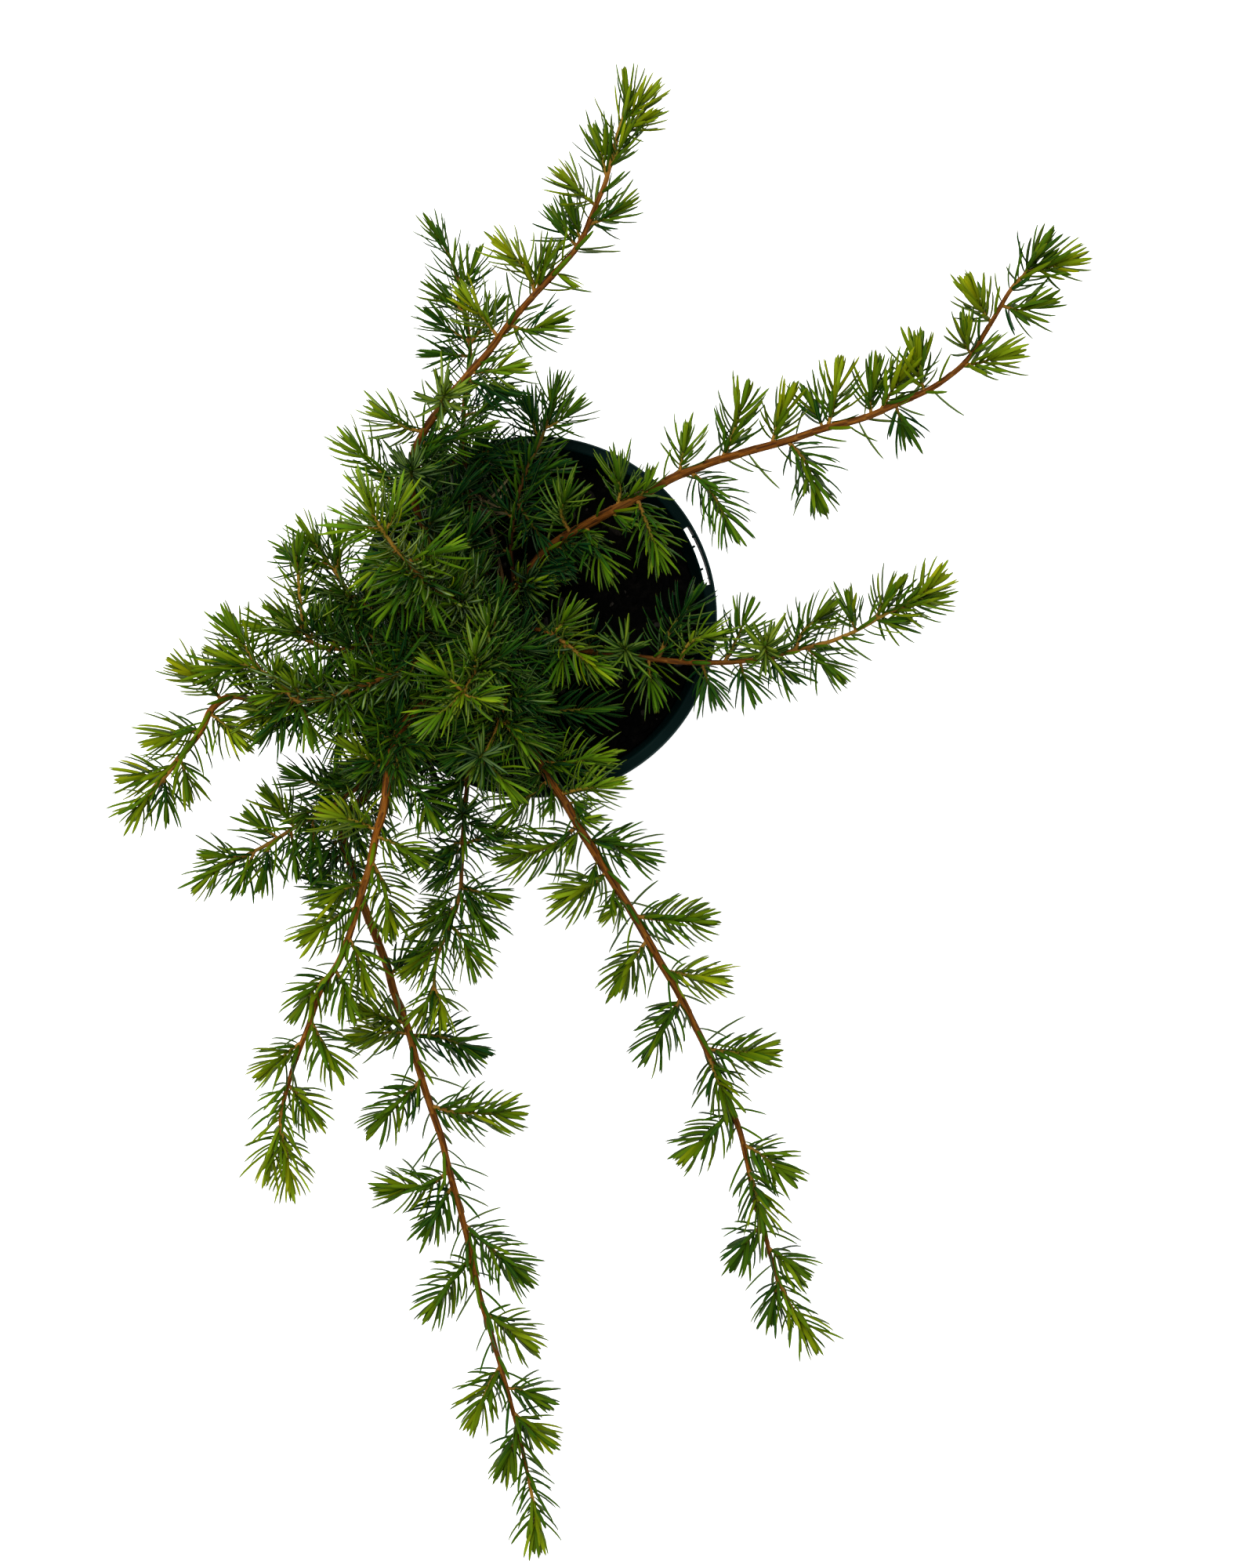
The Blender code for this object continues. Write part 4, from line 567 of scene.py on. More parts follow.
def needle_look():
    net = Net("juniper_needle")
    tint = net.attribute("tint")
    tone, chance, along = net.parts(tint.outputs[0])
    band = tint.outputs["Alpha"]
    strip = net.node("ShaderNodeUVMap", uv_map="strip")
    place = net.node("ShaderNodeSeparateXYZ", {0: strip.outputs[0]})
    across = place.outputs[0]
    base = net.ramp(tone, NEEDLE_GREENS)
    # hue drift: bluer green for low chance, yellower for high; the callers give needles deep in the plant the bluer end
    # as painted shade
    drift = net.ramp(chance, [(0.0, (0.42, 0.74, 1.10)), (0.5, (0.92, 1.0, 0.9)), (1.0, (1.26, 0.97, 0.28))])
    base = net.mix(0.85, base, drift, "MULTIPLY")
    # older wood-side end a little darker, young outer end lighter, a yellow-brown point
    lengthwise = net.ramp(along, [(0.0, 0.80), (0.12, 0.92), (0.5, 1.0), (0.85, 1.12), (1.0, 1.05)])
    base = net.mix(1.0, base, lengthwise, "MULTIPLY")
    point = net.span(along, 0.93, 1.0)
    base = net.mix(net.math("MULTIPLY", point, 0.45), base, (0.20, 0.14, 0.02))
    heel = net.span(along, 0.07, 0.0)
    base = net.mix(net.math("MULTIPLY", heel, 0.45), base, (0.16, 0.17, 0.01))
    # the pale waxy band along the middle of the upper face
    off = net.math("ABSOLUTE", net.math("SUBTRACT", across, 0.75))
    middle = net.span(off, 0.15, 0.05)
    wax = net.math("MULTIPLY", net.math("MULTIPLY", middle, band), net.span(along, 0.97, 0.75))
    grain = net.noise(net.scaled(strip.outputs[0], (14.0, 3.0, 1.0)), 1.0, 2.0)
    wax = net.math("MULTIPLY", wax, net.span(grain, 0.3, 0.7, 0.55, 1.0))
    # painted highlight: a thin lighter line along the middle of the upper face
    line = net.math("MULTIPLY", net.span(off, 0.085, 0.03), net.span(grain, 0.25, 0.75, 0.25, 1.0))
    base = net.mix(net.math("MULTIPLY", line, 0.42), base, net.mix(tone, (0.038, 0.118, 0.044), (0.42, 0.48, 0.045)))
    # painted highlight: a lighter line along the lit ridge of the upper face
    ridge_highlight = net.span(net.math("ABSOLUTE", net.math("SUBTRACT", across, 0.60)), 0.065, 0.015)
    base = net.mix(net.math("MULTIPLY", ridge_highlight, 0.50), base, net.mix(tone, (0.024, 0.096, 0.036), (0.42, 0.48, 0.035)))
    # painted shade: the far side of the upper face darkened
    edge = net.span(across, 0.70, 0.95, 1.0, 0.27)
    base = net.mix(1.0, base, net.node("ShaderNodeCombineColor", {0: edge, 1: net.span(across, 0.70, 0.95, 1.0, 0.37), 2: edge}).outputs[0], "MULTIPLY")
    pale = net.mix(net.span(band, 0.15, 0.50), net.mix(tone, (0.07, 0.17, 0.06), (0.30, 0.42, 0.03)), (0.34, 0.46, 0.27))
    base = net.mix(wax, base, pale)
    # the keel below: a thin lighter line
    keel = net.span(net.math("ABSOLUTE", net.math("SUBTRACT", across, 0.25)), 0.035, 0.0)
    base = net.mix(net.math("MULTIPLY", keel, 0.28), base, (0.20, 0.30, 0.02))
    net.set(Base_Color=base, Roughness=net.span(grain, 0.2, 0.8, 0.36, 0.52), Specular_IOR_Level=0.015)
    net.bump(grain, 0.10, 0.0001)
    return net.material


def dead_look():
    net = Net("dead_needle")
    tint = net.attribute("tint")
    tone, chance, along = net.parts(tint.outputs[0])
    base = net.ramp(chance, [(0.0, (0.030, 0.024, 0.010)), (0.6, (0.100, 0.080, 0.036)), (1.0, (0.200, 0.165, 0.085))])
    base = net.mix(net.span(along, 0.9, 0.0, 0.0, 0.5), base, (0.035, 0.024, 0.010))
    strip = net.node("ShaderNodeUVMap", uv_map="strip")
    grain = net.noise(net.scaled(strip.outputs[0], (10.0, 2.0, 1.0)), 1.0, 3.0)
    base = net.mix(1.0, base, net.ramp(grain, [(0.25, 0.7), (0.75, 1.25)]), "MULTIPLY")
    net.set(Base_Color=base, Roughness=net.span(grain, 0.2, 0.8, 0.6, 0.85), Specular_IOR_Level=0.06)
    net.bump(grain, 0.2, 0.0001)
    return net.material


def bark_look(name="juniper_bark", dead=False):
    net = Net(name)
    grain = net.attribute("grain").outputs["Vector"]
    bark = net.attribute("bark")
    groove, node, youth = net.parts(bark.outputs[0])
    tone = bark.outputs["Alpha"]
    streak = net.noise(net.scaled(grain, (1.9, 1.9, 0.11)), 1.0, 4.0, 0.62)
    fine = net.noise(net.scaled(grain, (5.5, 5.5, 0.30)), 1.0, 3.0, 0.6)
    blotch = net.noise(net.scaled(grain, (0.22, 0.22, 0.10)), 1.0, 2.0)
    if dead:
        stops = [(0.25, (0.016, 0.011, 0.006)), (0.55, (0.050, 0.036, 0.018)), (0.8, (0.105, 0.080, 0.042))]
    else:
        stops = BARK_BROWNS
    base = net.ramp(streak, stops)
    light = net.ramp(fine, [(0.3, (0.54, 0.50, 0.45)), (0.7, (1.42, 1.40, 1.20))])
    base = net.mix(1.0, base, light, "MULTIPLY")
    base = net.mix(net.span(blotch, 0.45, 0.70, 0.0, 0.45), base, net.mix(fine, (0.085, 0.029, 0.004), (0.27, 0.118, 0.022)))
    # painted shade: the furrows between the leaf bases darkened toward black
    base = net.mix(net.math("MULTIPLY", groove, 0.85), base, (0.014, 0.004, 0.0015))
    base = net.mix(net.math("MULTIPLY", node, 0.35), base, (0.26, 0.13, 0.02))
    if not dead:
        # young wood: orange, then yellow-green at the very end
        young = net.ramp(youth, [(0.0, (0.15, 0.052, 0.010)), (0.40, (0.25, 0.125, 0.018)), (0.70, (0.20, 0.150, 0.014)), (1.0, (0.09, 0.14, 0.008))])
        young = net.mix(1.0, young, net.ramp(fine, [(0.3, 0.75), (0.7, 1.25)]), "MULTIPLY")
        base = net.mix(net.span(youth, 0.02, 0.35), base, young)
    # painted shade and light: the bark attribute's tone darkens or lightens the wood
    base = net.mix(1.0, base, net.node("ShaderNodeCombineColor", {0: tone, 1: tone, 2: tone}).outputs[0], "MULTIPLY")
    net.set(Base_Color=base, Roughness=net.span(fine, 0.2, 0.8, 0.50, 0.80), Specular_IOR_Level=0.05)
    height = net.math("ADD", net.math("MULTIPLY", streak, 0.7), net.math("MULTIPLY", fine, 0.45))
    net.bump(height, 0.55, 0.0005)
    return net.material


def pot_look():
    net = Net("pot_plastic")
    where = net.node("ShaderNodeTexCoord").outputs["Object"]
    cloud = net.noise(where, 22.0, 3.0)
    pores = net.noise(where, 1100.0, 2.0, 0.6)
    flow = net.noise(net.scaled(where, (30.0, 30.0, 420.0)), 1.0, 3.0, 0.55)
    base = net.mix(net.span(cloud, 0.3, 0.7), POT_DARK, POT_PALE)
    dust = net.math("MULTIPLY", net.span(net.noise(where, 260.0, 4.0, 0.7), 0.60, 0.78), 0.22)
    base = net.mix(dust, base, (0.010, 0.022, 0.021))
    # a painted highlight: the outer roll of the rim is a little paler
    spot = net.node("ShaderNodeSeparateXYZ", {0: where})
    out = net.math("SQRT", net.math("ADD", net.math("MULTIPLY", spot.outputs[0], spot.outputs[0]), net.math("MULTIPLY", spot.outputs[1], spot.outputs[1])))
    roll = net.math("MULTIPLY", net.span(out, 0.0814, 0.0820), net.span(spot.outputs[2], 0.1620, 0.1634))
    base = net.mix(net.math("MULTIPLY", roll, net.span(cloud, 0.35, 0.65, 0.45, 1.0)), base, (0.024, 0.043, 0.042))
    rough = net.math("ADD", net.span(flow, 0.3, 0.7, 0.34, 0.46), net.math("MULTIPLY", dust, 0.8))
    net.set(Base_Color=base, Roughness=rough, Specular_IOR_Level=0.010)
    height = net.math("ADD", net.math("MULTIPLY", pores, 0.4), net.math("MULTIPLY", flow, 0.6))
    net.bump(height, 0.16, 0.00025)
    return net.material


def mix_look():
    net = Net("bark_mix")
    where = net.node("ShaderNodeTexCoord").outputs["Object"]
    lumps = net.noise(where, 210.0, 5.0, 0.72)
    grit = net.noise(where, 1500.0, 3.0, 0.7)
    # the mix's own dark colour, made darker still as painted shade inside the pot
    base = net.ramp(lumps, [(0.32, (0.0004, 0.0004, 0.0004)), (0.52, (0.0011, 0.0011, 0.0009)), (0.70, (0.0040, 0.0034, 0.0028))])
    base = net.mix(net.span(grit, 0.64, 0.80, 0.0, 0.35), base, (0.018, 0.018, 0.015))
    net.set(Base_Color=base, Roughness=net.span(grit, 0.3, 0.7, 0.80, 0.97), Specular_IOR_Level=0.02)
    net.bump(net.math("ADD", lumps, net.math("MULTIPLY", grit, 0.35)), 0.9, 0.0012)
    return net.material


def chip_look():
    net = Net("bark_chip")
    tint = net.attribute("tint")
    tone, chance, _ = net.parts(tint.outputs[0])
    where = net.node("ShaderNodeTexCoord").outputs["Object"]
    fibre = net.noise(net.scaled(where, (900.0, 300.0, 900.0)), 1.0, 4.0, 0.65)
    # the chips' own dark colours, made darker still as painted shade inside the pot; the rare pale grit is their own
    # colour
    base = net.ramp(tone, [(0.0, (0.0005, 0.0005, 0.0005)), (0.6, (0.0018, 0.0016, 0.0013)), (0.9, (0.0060, 0.0050, 0.0040)), (1.0, (0.0260, 0.0230, 0.0190))])
    base = net.mix(1.0, base, net.ramp(fibre, [(0.3, 0.55), (0.7, 1.4)]), "MULTIPLY")
    net.set(Base_Color=base, Roughness=net.span(fibre, 0.3, 0.7, 0.75, 0.95), Specular_IOR_Level=0.03)
    net.bump(fibre, 0.6, 0.0004)
    return net.material


def floor_look():
    net = Net("studio_floor")
    net.set(Base_Color=(0.90, 0.90, 0.90, 1.0), Roughness=0.9, Specular_IOR_Level=0.1, Emission_Color=(1.0, 1.0, 1.0, 1.0), Emission_Strength=0.70)
    return net.material


# ---- growth ----------------------------------------------------------------
def leafy(green, line, s0, tone, rng, spacing=2.1, size=1.0, width=1.5, band=0.35, wide=1.0, tip=True, sparse=0.0, older=0.72, warm=0.5):
    """Whorls of three needles from run s0 to the line's end, and its brush."""
    s, turn = s0, rng.uniform(0, math.tau)
    total = line.length
    while s < total - 0.4:
        d = total - s
        place, t, n, b, r = line.where(s)
        for k in range(3):
            if rng.random() < sparse:
                continue
            phi = turn + k * math.tau / 3 + rng.normal(0, 0.16)
            radial = math.cos(phi) * n + math.sin(phi) * b
            theta = math.radians(12 + 58 * wide * (1 - math.exp(-d / 5.0)) + rng.normal(0, 7.5))
            theta1 = theta * rng.uniform(0.38, 0.74)
            long = 16.4 * size
            if d < 7:
                long = min(long, (12.2 + d * 1.0) * size / math.cos(theta * 0.8))
            early = (s - s0) / 4.0
            if early < 1:
                long *= 0.72 + 0.28 * early
            long *= rng.normal(1.0, 0.085)
            side = np.cross(t, radial) * rng.normal(0, 0.06)
            start = math.cos(theta) * t + math.sin(theta) * radial + side
            end = math.cos(theta1) * t + math.sin(theta1) * radial + side * 2.2
            up = t * math.sin(theta) - radial * math.cos(theta) + side * 3
            share = (s - s0) / max(total - s0, 1.0)
            # each needle's tone: darker toward the older start of the shoot, and brighter the more it faces up, as
            # painted light
            shade = np.clip(tone * (older + (1.04 - older) * min(1.0, share * 1.25)) * (1.0 + 0.10 * radial[2]) + rng.normal(0, 0.095), 0, 1)
            green.add(place + radial * r * 0.75, start, end, up, long, width * rng.normal(1.0, 0.07), shade, np.clip(rng.normal(warm, 0.17), 0, 1), band * rng.uniform(0.6, 1.0))
        turn += math.tau / 6 + rng.normal(0, 0.05)
        s += spacing * (0.60 + 0.40 * min(1.0, d / 8.0)) * rng.uniform(0.88, 1.12)
    if tip:
        place, t, n, b, r = line.where(total)
        for k in range(6):
            phi = rng.uniform(0, math.tau)
            radial = math.cos(phi) * n + math.sin(phi) * b
            theta = math.radians(abs(rng.normal(0, 8)) + 2)
            start = math.cos(theta) * t + math.sin(theta) * radial
            end = math.cos(theta * 0.5) * t + math.sin(theta * 0.5) * radial
            up = t * math.sin(theta) - radial * math.cos(theta)
            long = size * rng.uniform(9.5, 12.6)
            green.add(place + radial * r * 0.5, start, end, up, long, width * rng.uniform(0.80, 0.98), float(np.clip(tone * 1.02 + 0.10 * math.sin(7 * phi), 0, 1)), np.clip(rng.normal(warm + 0.1, 0.17), 0, 1), band * 0.6)


def single(green, place, toward, length, up, tone, rng, width=1.45, bend=0.25, band=0.3, ahead=None):
    """One long needle that starts along toward and bends ahead."""
    toward = unit(toward)
    end = unit(toward + bend * (unit(ahead) if ahead is not None else np.zeros(3)) + rng.normal(0, 0.03, 3))
    green.add(place, toward, end, up, length, width, tone, np.clip(rng.normal(0.62, 0.2), 0, 1), band)


looks = {
    "needle": needle_look(), "dead": dead_look(), "bark": bark_look(), "dead_bark": bark_look("dead_bark", True),
    "pot": pot_look(), "mix": mix_look(), "chip": chip_look(), "floor": floor_look(),
}


def lobes(nodes, rng, depth):
    """Long leaf bases that run down the wood from each node, three side by side."""
    marks = np.concatenate(([-20.0], nodes, [1e4]))
    first = rng.uniform(0, math.tau)
    wander = rng.normal(0, 0.16, len(marks) + 1).cumsum()

    def shape(run, turn):
        k = np.searchsorted(marks, run.ravel()).reshape(run.shape)
        phase = first + k * math.tau / 6 + wander[np.clip(k, 0, len(wander) - 1)]
        lobe = np.abs(np.cos(1.5 * (turn - phase)))
        soft = lobe ** 0.55
        below = marks[np.clip(k, 0, len(marks) - 1)] - run
        flare = np.exp(-(below / 1.7) ** 2) * lobe ** 2
        fine = 0.022 * np.sin(9 * turn + 0.6 * np.sin(run * 0.21)) + 0.018 * np.sin(14 * turn + 1.1 * np.sin(run * 0.13 + 1))
        return 1 + depth * (soft - 0.70) + 0.07 * flare + fine, np.clip(1.12 - soft, 0, 1) ** 1.6

    def node(run, turn):
        k = np.searchsorted(marks, run.ravel()).reshape(run.shape)
        phase = first + k * math.tau / 6 + wander[np.clip(k, 0, len(wander) - 1)]
        lobe = np.abs(np.cos(1.5 * (turn - phase)))
        below = marks[np.clip(k, 0, len(marks) - 1)] - run
        return np.exp(-(below / 0.9) ** 2) * lobe ** 4

    return shape, node, first, wander, marks


def taper(r0, r1, share):
    return r1 + (r0 - r1) * (1 - share) ** 0.75


lines, woods, greens = {}, {}, {}
node_runs = {}
for index, (name, r0, r1, grid) in enumerate(STEMS):
    rng = np.random.default_rng(100 + index)
    path = smooth_path([at(*g) for g in grid], 1.0)
    # a slight natural unevenness that keeps the ends where they are
    x = np.linspace(0, 1, len(path))
    wave = sum(rng.normal(0, 0.28) * np.sin(x * len(path) / 14.0 * k + rng.uniform(0, 6)) for k in (1.0, 1.7))
    line = Line(path, [1, 1])
    path = path + (wave * np.sin(x * math.pi))[:, None] * line.n * 0.6
    share = np.linspace(0, 1, len(path))
    line = Line(path, taper(r0, WIDE_END.get(name, r1), share) * (0.95 if r0 > 2.1 or name in WIDE_END else 0.82))
    lines[name] = line
    wood, green = Mesh(), Needles()
    woods[name], greens[name] = wood, green
    gap = NODE_GAP.get(name, 8.0)
    runs, s = [], 4.0
    while s < line.length - 4:
        runs.append(s)
        s += gap * (0.62 + 0.38 * (1 - s / line.length)) * rng.uniform(0.82, 1.18)
    runs = np.array(runs)
    node_runs[name] = runs
    shape, node, first, wander, marks = lobes(runs, rng, 0.17)
    dark0, dark1, dark_until = WOOD_SHADE_AND_LIGHT.get(name, (0.45, 1.0, 0.22))
    youth_from = YOUNG_FROM.get(name, 0.86)

    def bark(run, turn, line=line, node=node, dark0=dark0, dark1=dark1, dark_until=dark_until, youth_from=youth_from):
        share = run / line.length
        # painted shade near the trunk, painted light further out
        tone = dark0 + (dark1 - dark0) * np.clip(share / dark_until, 0, 1) ** 1.5
        youth = np.clip((share - youth_from) / (1.001 - youth_from), 0, 1) * 0.62
        return node(run, turn), youth, tone

    wood.tube(line, 24 if r0 > 2.2 else 18, shape, bark, seed=index)

    # needles at the wood's nodes, bent forward, some of them lost
    leaf_from = LEAFY_FROM.get(name, 0.93)
    tones = LIT_AND_SHADED_TONES[name]
    middle_tone = float(np.mean(tones))
    for k, s in enumerate(runs):
        if s < BARE or s > leaf_from * line.length:
            continue
        place, t, n, b, r = line.where(s)
        phase = first + (k + 1) * math.tau / 6 + wander[min(k + 1, len(wander) - 1)]
        for j in range(3):
            if rng.random() < LOST.get(name, 0.50):
                continue
            phi = phase + j * math.tau / 3 + rng.normal(0, 0.1)
            radial = math.cos(phi) * n + math.sin(phi) * b
            theta = math.radians(rng.uniform(38, 68))
            toward = math.cos(theta) * t + math.sin(theta) * radial
            up = t * math.sin(theta) - radial * math.cos(theta)
            single(green, place + radial * r * 0.85, toward, rng.uniform(12.5, 18.0), up, np.clip(middle_tone * 0.85 + rng.normal(0, 0.07), 0.05, 1), rng, 1.65, rng.uniform(0.3, 0.8), 0.22, ahead=t)
    if leaf_from < 0.999:
        leafy(green, line, leaf_from * line.length, middle_tone, rng, spacing=LEAFY_SPACING.get(name, 2.6), width=1.30 + WIDER.get(name, 0.05) * 0.8, band=BAND.get(name, 0.25), sparse=0.08, warm=0.60, wide=1.15 if name in ("northwest_high", "crown", "inner_east") else SPLAY.get(name, 1.0))

# side shoots
counters = {name: 0 for name in lines}
for index, entry in enumerate(SHOOTS):
    name, bx, by, tx, ty, rise = entry[:6]
    tone = LIT_AND_SHADED_TONES[name][counters[name]]
    counters[name] += 1
    rng = np.random.default_rng(1000 + index)
    line = lines[name]
    s = line.under(bx, by)
    base, t, n, b, r = line.where(s)
    tip = at(tx, ty, base[2] + rise)
    if len(entry) > 6:
        middle = at(entry[6], entry[7], base[2] + rise * 0.45)
        points = [base, middle, tip]
    else:
        lean = t * np.linalg.norm(tip - base) * 0.10
        points = [base, (base + tip) / 2 - lean * 0.4 + rng.normal(0, 0.4, 3), tip]
    twig = Line(smooth_path(points, 1.0), [1, 1])
    r_twig = 0.62 + 0.016 * min(twig.length, 30)
    x = twig.run / twig.length
    twig.r = r_twig + (0.42 - r_twig) * x
    # painted shade: the twig's bark is darker where its shoot's needles are painted darker
    dim = 0.30 + 0.70 * min(1.0, tone * 1.25)

    def bark(run, turn, length=twig.length, dim=dim):
        share = run / length
        return np.exp(-(((run % 3.1) - 1.5) / 0.5) ** 2) * 0.5, 0.30 + 0.68 * share, np.full_like(run, dim)

    woods[name].tube(twig, 8, None, bark, seed=200 + index)
    start = min(r + 1.2, twig.length * 0.45)
    bright = tone > 0.6
    out = math.hypot(tip[0], tip[1])
    far = min(1.0, max(0.0, (out - 75.0) / 60.0))
    # painted light: outer shoots a little brighter; a lower warm toward the middle gives the bluer green of painted
    # shade
    leafy(greens[name], twig, start, min(1.0, tone * (1.0 if name == "northwest_high" else 0.88 + 0.04 * far)), rng, spacing=1.50 + (0.35 if name in ("north", "north_low") else 0.20) * far, size=BIGGER.get((name, tx, ty), 1.0) * (1.04 - 0.02 * far) * (1.0 if twig.length > 7 else 0.92),
          width=1.34 + WIDER.get(name, 0.10) * far + (0.10 if bright else 0.0) * far, band=BAND.get(name, 0.22) if tone > 0.25 else 0.12, wide=(1.12 - 0.10 * far) * SPLAY.get(name, 1.0), warm=0.20 + 0.58 * far)
for name, count in counters.items():
    assert count == len(LIT_AND_SHADED_TONES[name]), (name, count, len(LIT_AND_SHADED_TONES[name]))

# long single needles along the wood
for index, (name, bx, by, tx, ty, rise) in enumerate(LONG_NEEDLES):
    rng = np.random.default_rng(5000 + index)
    line = lines[name]
    s = line.under(bx, by)
    base, t, n, b, r = line.where(s)
    tip = at(tx, ty, base[2] + rise)
    way = unit(tip - base)
    start = base + way * r * 0.8
    up = unit(np.cross(np.cross(way, t), way) + np.array((0, 0, 0.5)))
    single(greens[name], start, unit(way - 0.12 * t), float(np.linalg.norm(tip - start)), up, 0.52 + rng.uniform(-0.10, 0.12), rng, 1.75, 0.30, 0.25, ahead=t)

def grid_of(p):
    """The grid point that a place in mm lies over."""
    shrink = (EYE_ABOVE_RIM + POT_HEIGHT - p[2]) / EYE_ABOVE_RIM
    ex, ey = (GRID_EYE[0] - GRID_AXIS[0]) * UNIT, -(GRID_EYE[1] - GRID_AXIS[1]) * UNIT
    return GRID_EYE[0] + (p[0] - ex) / (UNIT * shrink), GRID_EYE[1] - (p[1] - ey) / (UNIT * shrink)


def kept_clear(gx, gy):
    """Open places: over the bare mix in the east half, and around the dry twig."""
    return any(((gx - cx) / rx) ** 2 + ((gy - cy) / ry) ** 2 < 1 for cx, cy, rx, ry in OPEN_PLACES)


def short_shoot(name, s, way, long, tone, rng, size, seed, width, spacing=1.7):
    line = lines[name]
    base, t, n, b, r = line.where(s)
    tip = base + unit(way) * long
    twig = Line(smooth_path([base, (base + tip) / 2 + rng.normal(0, 0.6, 3), tip], 1.2), [1, 1])
    twig.r = np.linspace(0.68, 0.42, len(twig.p))
    # painted shade: the twig's bark is darker where its shoot's needles are painted darker
    dim = 0.10 + 0.9 * tone
    woods[name].tube(twig, 6, None, lambda run, turn: (np.zeros_like(run), 0.35 + 0.55 * run / run.max(), np.full_like(run, dim)), seed=seed)
    far = min(1.0, max(0.0, (math.hypot(tip[0], tip[1]) - 75.0) / 60.0))
    # painted light: outer shoots brighter; dark shoots and shoots toward the middle get the bluer green of painted
    # shade
    leafy(greens[name], twig, min(r + 1.0, 3.5), min(1.0, tone * (1 + 0.25 * far)), rng, spacing=spacing, size=size, width=width, band=BAND.get(name, 0.30), wide=1.15, warm=(0.02 if tone < 0.36 else 0.20) + 0.50 * far)


# small shoots low in the middle of the plant, their needles painted darker the lower they sit, as painted shade
rng = np.random.default_rng(77)
made, tries = 0, 0
while made < FILL_SHOOTS and tries < 4000:
    tries += 1
    name = FILL_STEMS[int(rng.integers(len(FILL_STEMS)))]
    line = lines[name]
    s = rng.uniform(10.0, min(line.length * 0.8, 110.0))
    base, t, n, b, r = line.where(s)
    heading = rng.uniform(0, math.tau)
    way = unit(np.array((math.cos(heading), math.sin(heading), rng.uniform(-0.5, 0.5))) + 0.5 * t)
    long = rng.uniform(10.0, 20.0)
    tip = base + way * long
    gx, gy = grid_of(tip)
    if not (430 < gx < 705 and 575 < gy < 985) or tip[2] > 212 or tip[2] < 158 or kept_clear(gx, gy):
        continue
    if math.hypot(tip[0], tip[1]) < 70 and tip[2] < 160:
        continue
    # painted shade: the lower the shoot's tip, the darker its needles
    low = np.clip((tip[2] - 160) / 55, 0, 1)
    short_shoot(name, s, way, long, 0.03 + 0.34 * low ** 1.3 + rng.uniform(0, 0.08), rng, 1.0, 400 + made, 1.22, 2.1)
    made += 1
print("FILL", made, "tries", tries)

# short shoots that hide the inner lengths of the stems
for index, (name, first_share, last_share, count, dull, fair, reach) in enumerate(COVER):
    rng = np.random.default_rng(9000 + index)
    line = lines[name]
    done = 0
    for k in range(count * 6):
        if done == count:
            break
        s = line.length * (first_share + (last_share - first_share) * ((done + rng.random()) / count))
        base, t, n, b, r = line.where(s)
        turn = rng.uniform(-1.35, 1.35) + (0 if rng.random() < 0.5 else math.pi)
        side = unit(np.cross(t, (0.0, 0.0, 1.0)))
        way = unit(side * math.cos(turn) * 0.9 + np.array((0.0, 0.0, 1.0)) * abs(math.sin(turn)) * 0.75 + t * rng.uniform(0.25, 0.75))
        long = rng.uniform(0.55, 1.0) * reach
        tip = base + way * long
        gx, gy = grid_of(tip)
        if kept_clear(gx, gy) or tip[2] > 245:
            continue
        # painted light: shoots that point up get brighter needles
        short_shoot(name, s, way, long, rng.uniform(dull, fair) * (0.9 + 0.2 * way[2]), rng, 0.95, 700 + 40 * index + k, 1.32, 1.70)
        done += 1

shown = []
total = 0
for name in lines:
    wood = woods[name].make("wood_" + name, looks["bark"])
    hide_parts("stem_" + name)
    leaves = greens[name].make("foliage_" + name, looks["needle"])
    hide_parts("needles_" + name)
    shown += [wood, leaves]
    total += len(greens[name].rows)
print("NEEDLES", total, "WOOD VERTS", sum(w.count for w in woods.values()))

# ---- trunk and dry twig ----------------------------------------------------
rng = np.random.default_rng(9)
trunk = Line(smooth_path([at(*g) for g in TRUNK[2]], 1.0), [1, 1])
trunk.r = np.linspace(TRUNK[0], TRUNK[1], len(trunk.p)) * (1 + 0.05 * np.sin(trunk.run * 0.4))
shape, node, *_ = lobes(np.arange(6.0, trunk.length, 9.0), rng, 0.16)
mesh = Mesh()
# the trunk's bark is painted darker, as painted shade under the foliage
mesh.tube(trunk, 28, shape, lambda run, turn: (node(run, turn) * 0.4, np.zeros_like(run), np.full_like(run, 0.45)), seed=50)
wood = mesh.make("trunk_wood", looks["bark"])
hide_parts("main_trunk")
shown.append(wood)

dry = Line(smooth_path([at(*g) for g in DRY_TWIG[2]], 1.0), [1, 1])
dry.r = np.linspace(DRY_TWIG[0], DRY_TWIG[1], len(dry.p))
mesh = Mesh()
mesh.tube(dry, 10, None, lambda run, turn: (np.zeros_like(run), np.zeros_like(run), np.ones_like(run)), seed=60)
wood = mesh.make("dead_twig", looks["dead_bark"])
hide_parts("dry_twig")
shown.append(wood)
dead = Needles()
for k in range(26):
    s = dry.length * (1 - 0.62 * rng.random() ** 1.4)
    place, t, n, b, r = dry.where(s)
    phi = rng.uniform(0, math.tau)
    radial = math.cos(phi) * n + math.sin(phi) * b
    theta = math.radians(rng.uniform(45, 95))
    toward = math.cos(theta) * t + math.sin(theta) * radial
    if toward[2] < -0.3:
        toward[2] *= -0.4
    up = t * math.sin(theta) - radial * math.cos(theta)
    single(dead, place + radial * r * 0.7, toward, rng.uniform(8.5, 14.0), up, 0.3, rng, rng.uniform(0.65, 0.95), rng.uniform(-0.9, 0.9), 0.0, ahead=t)
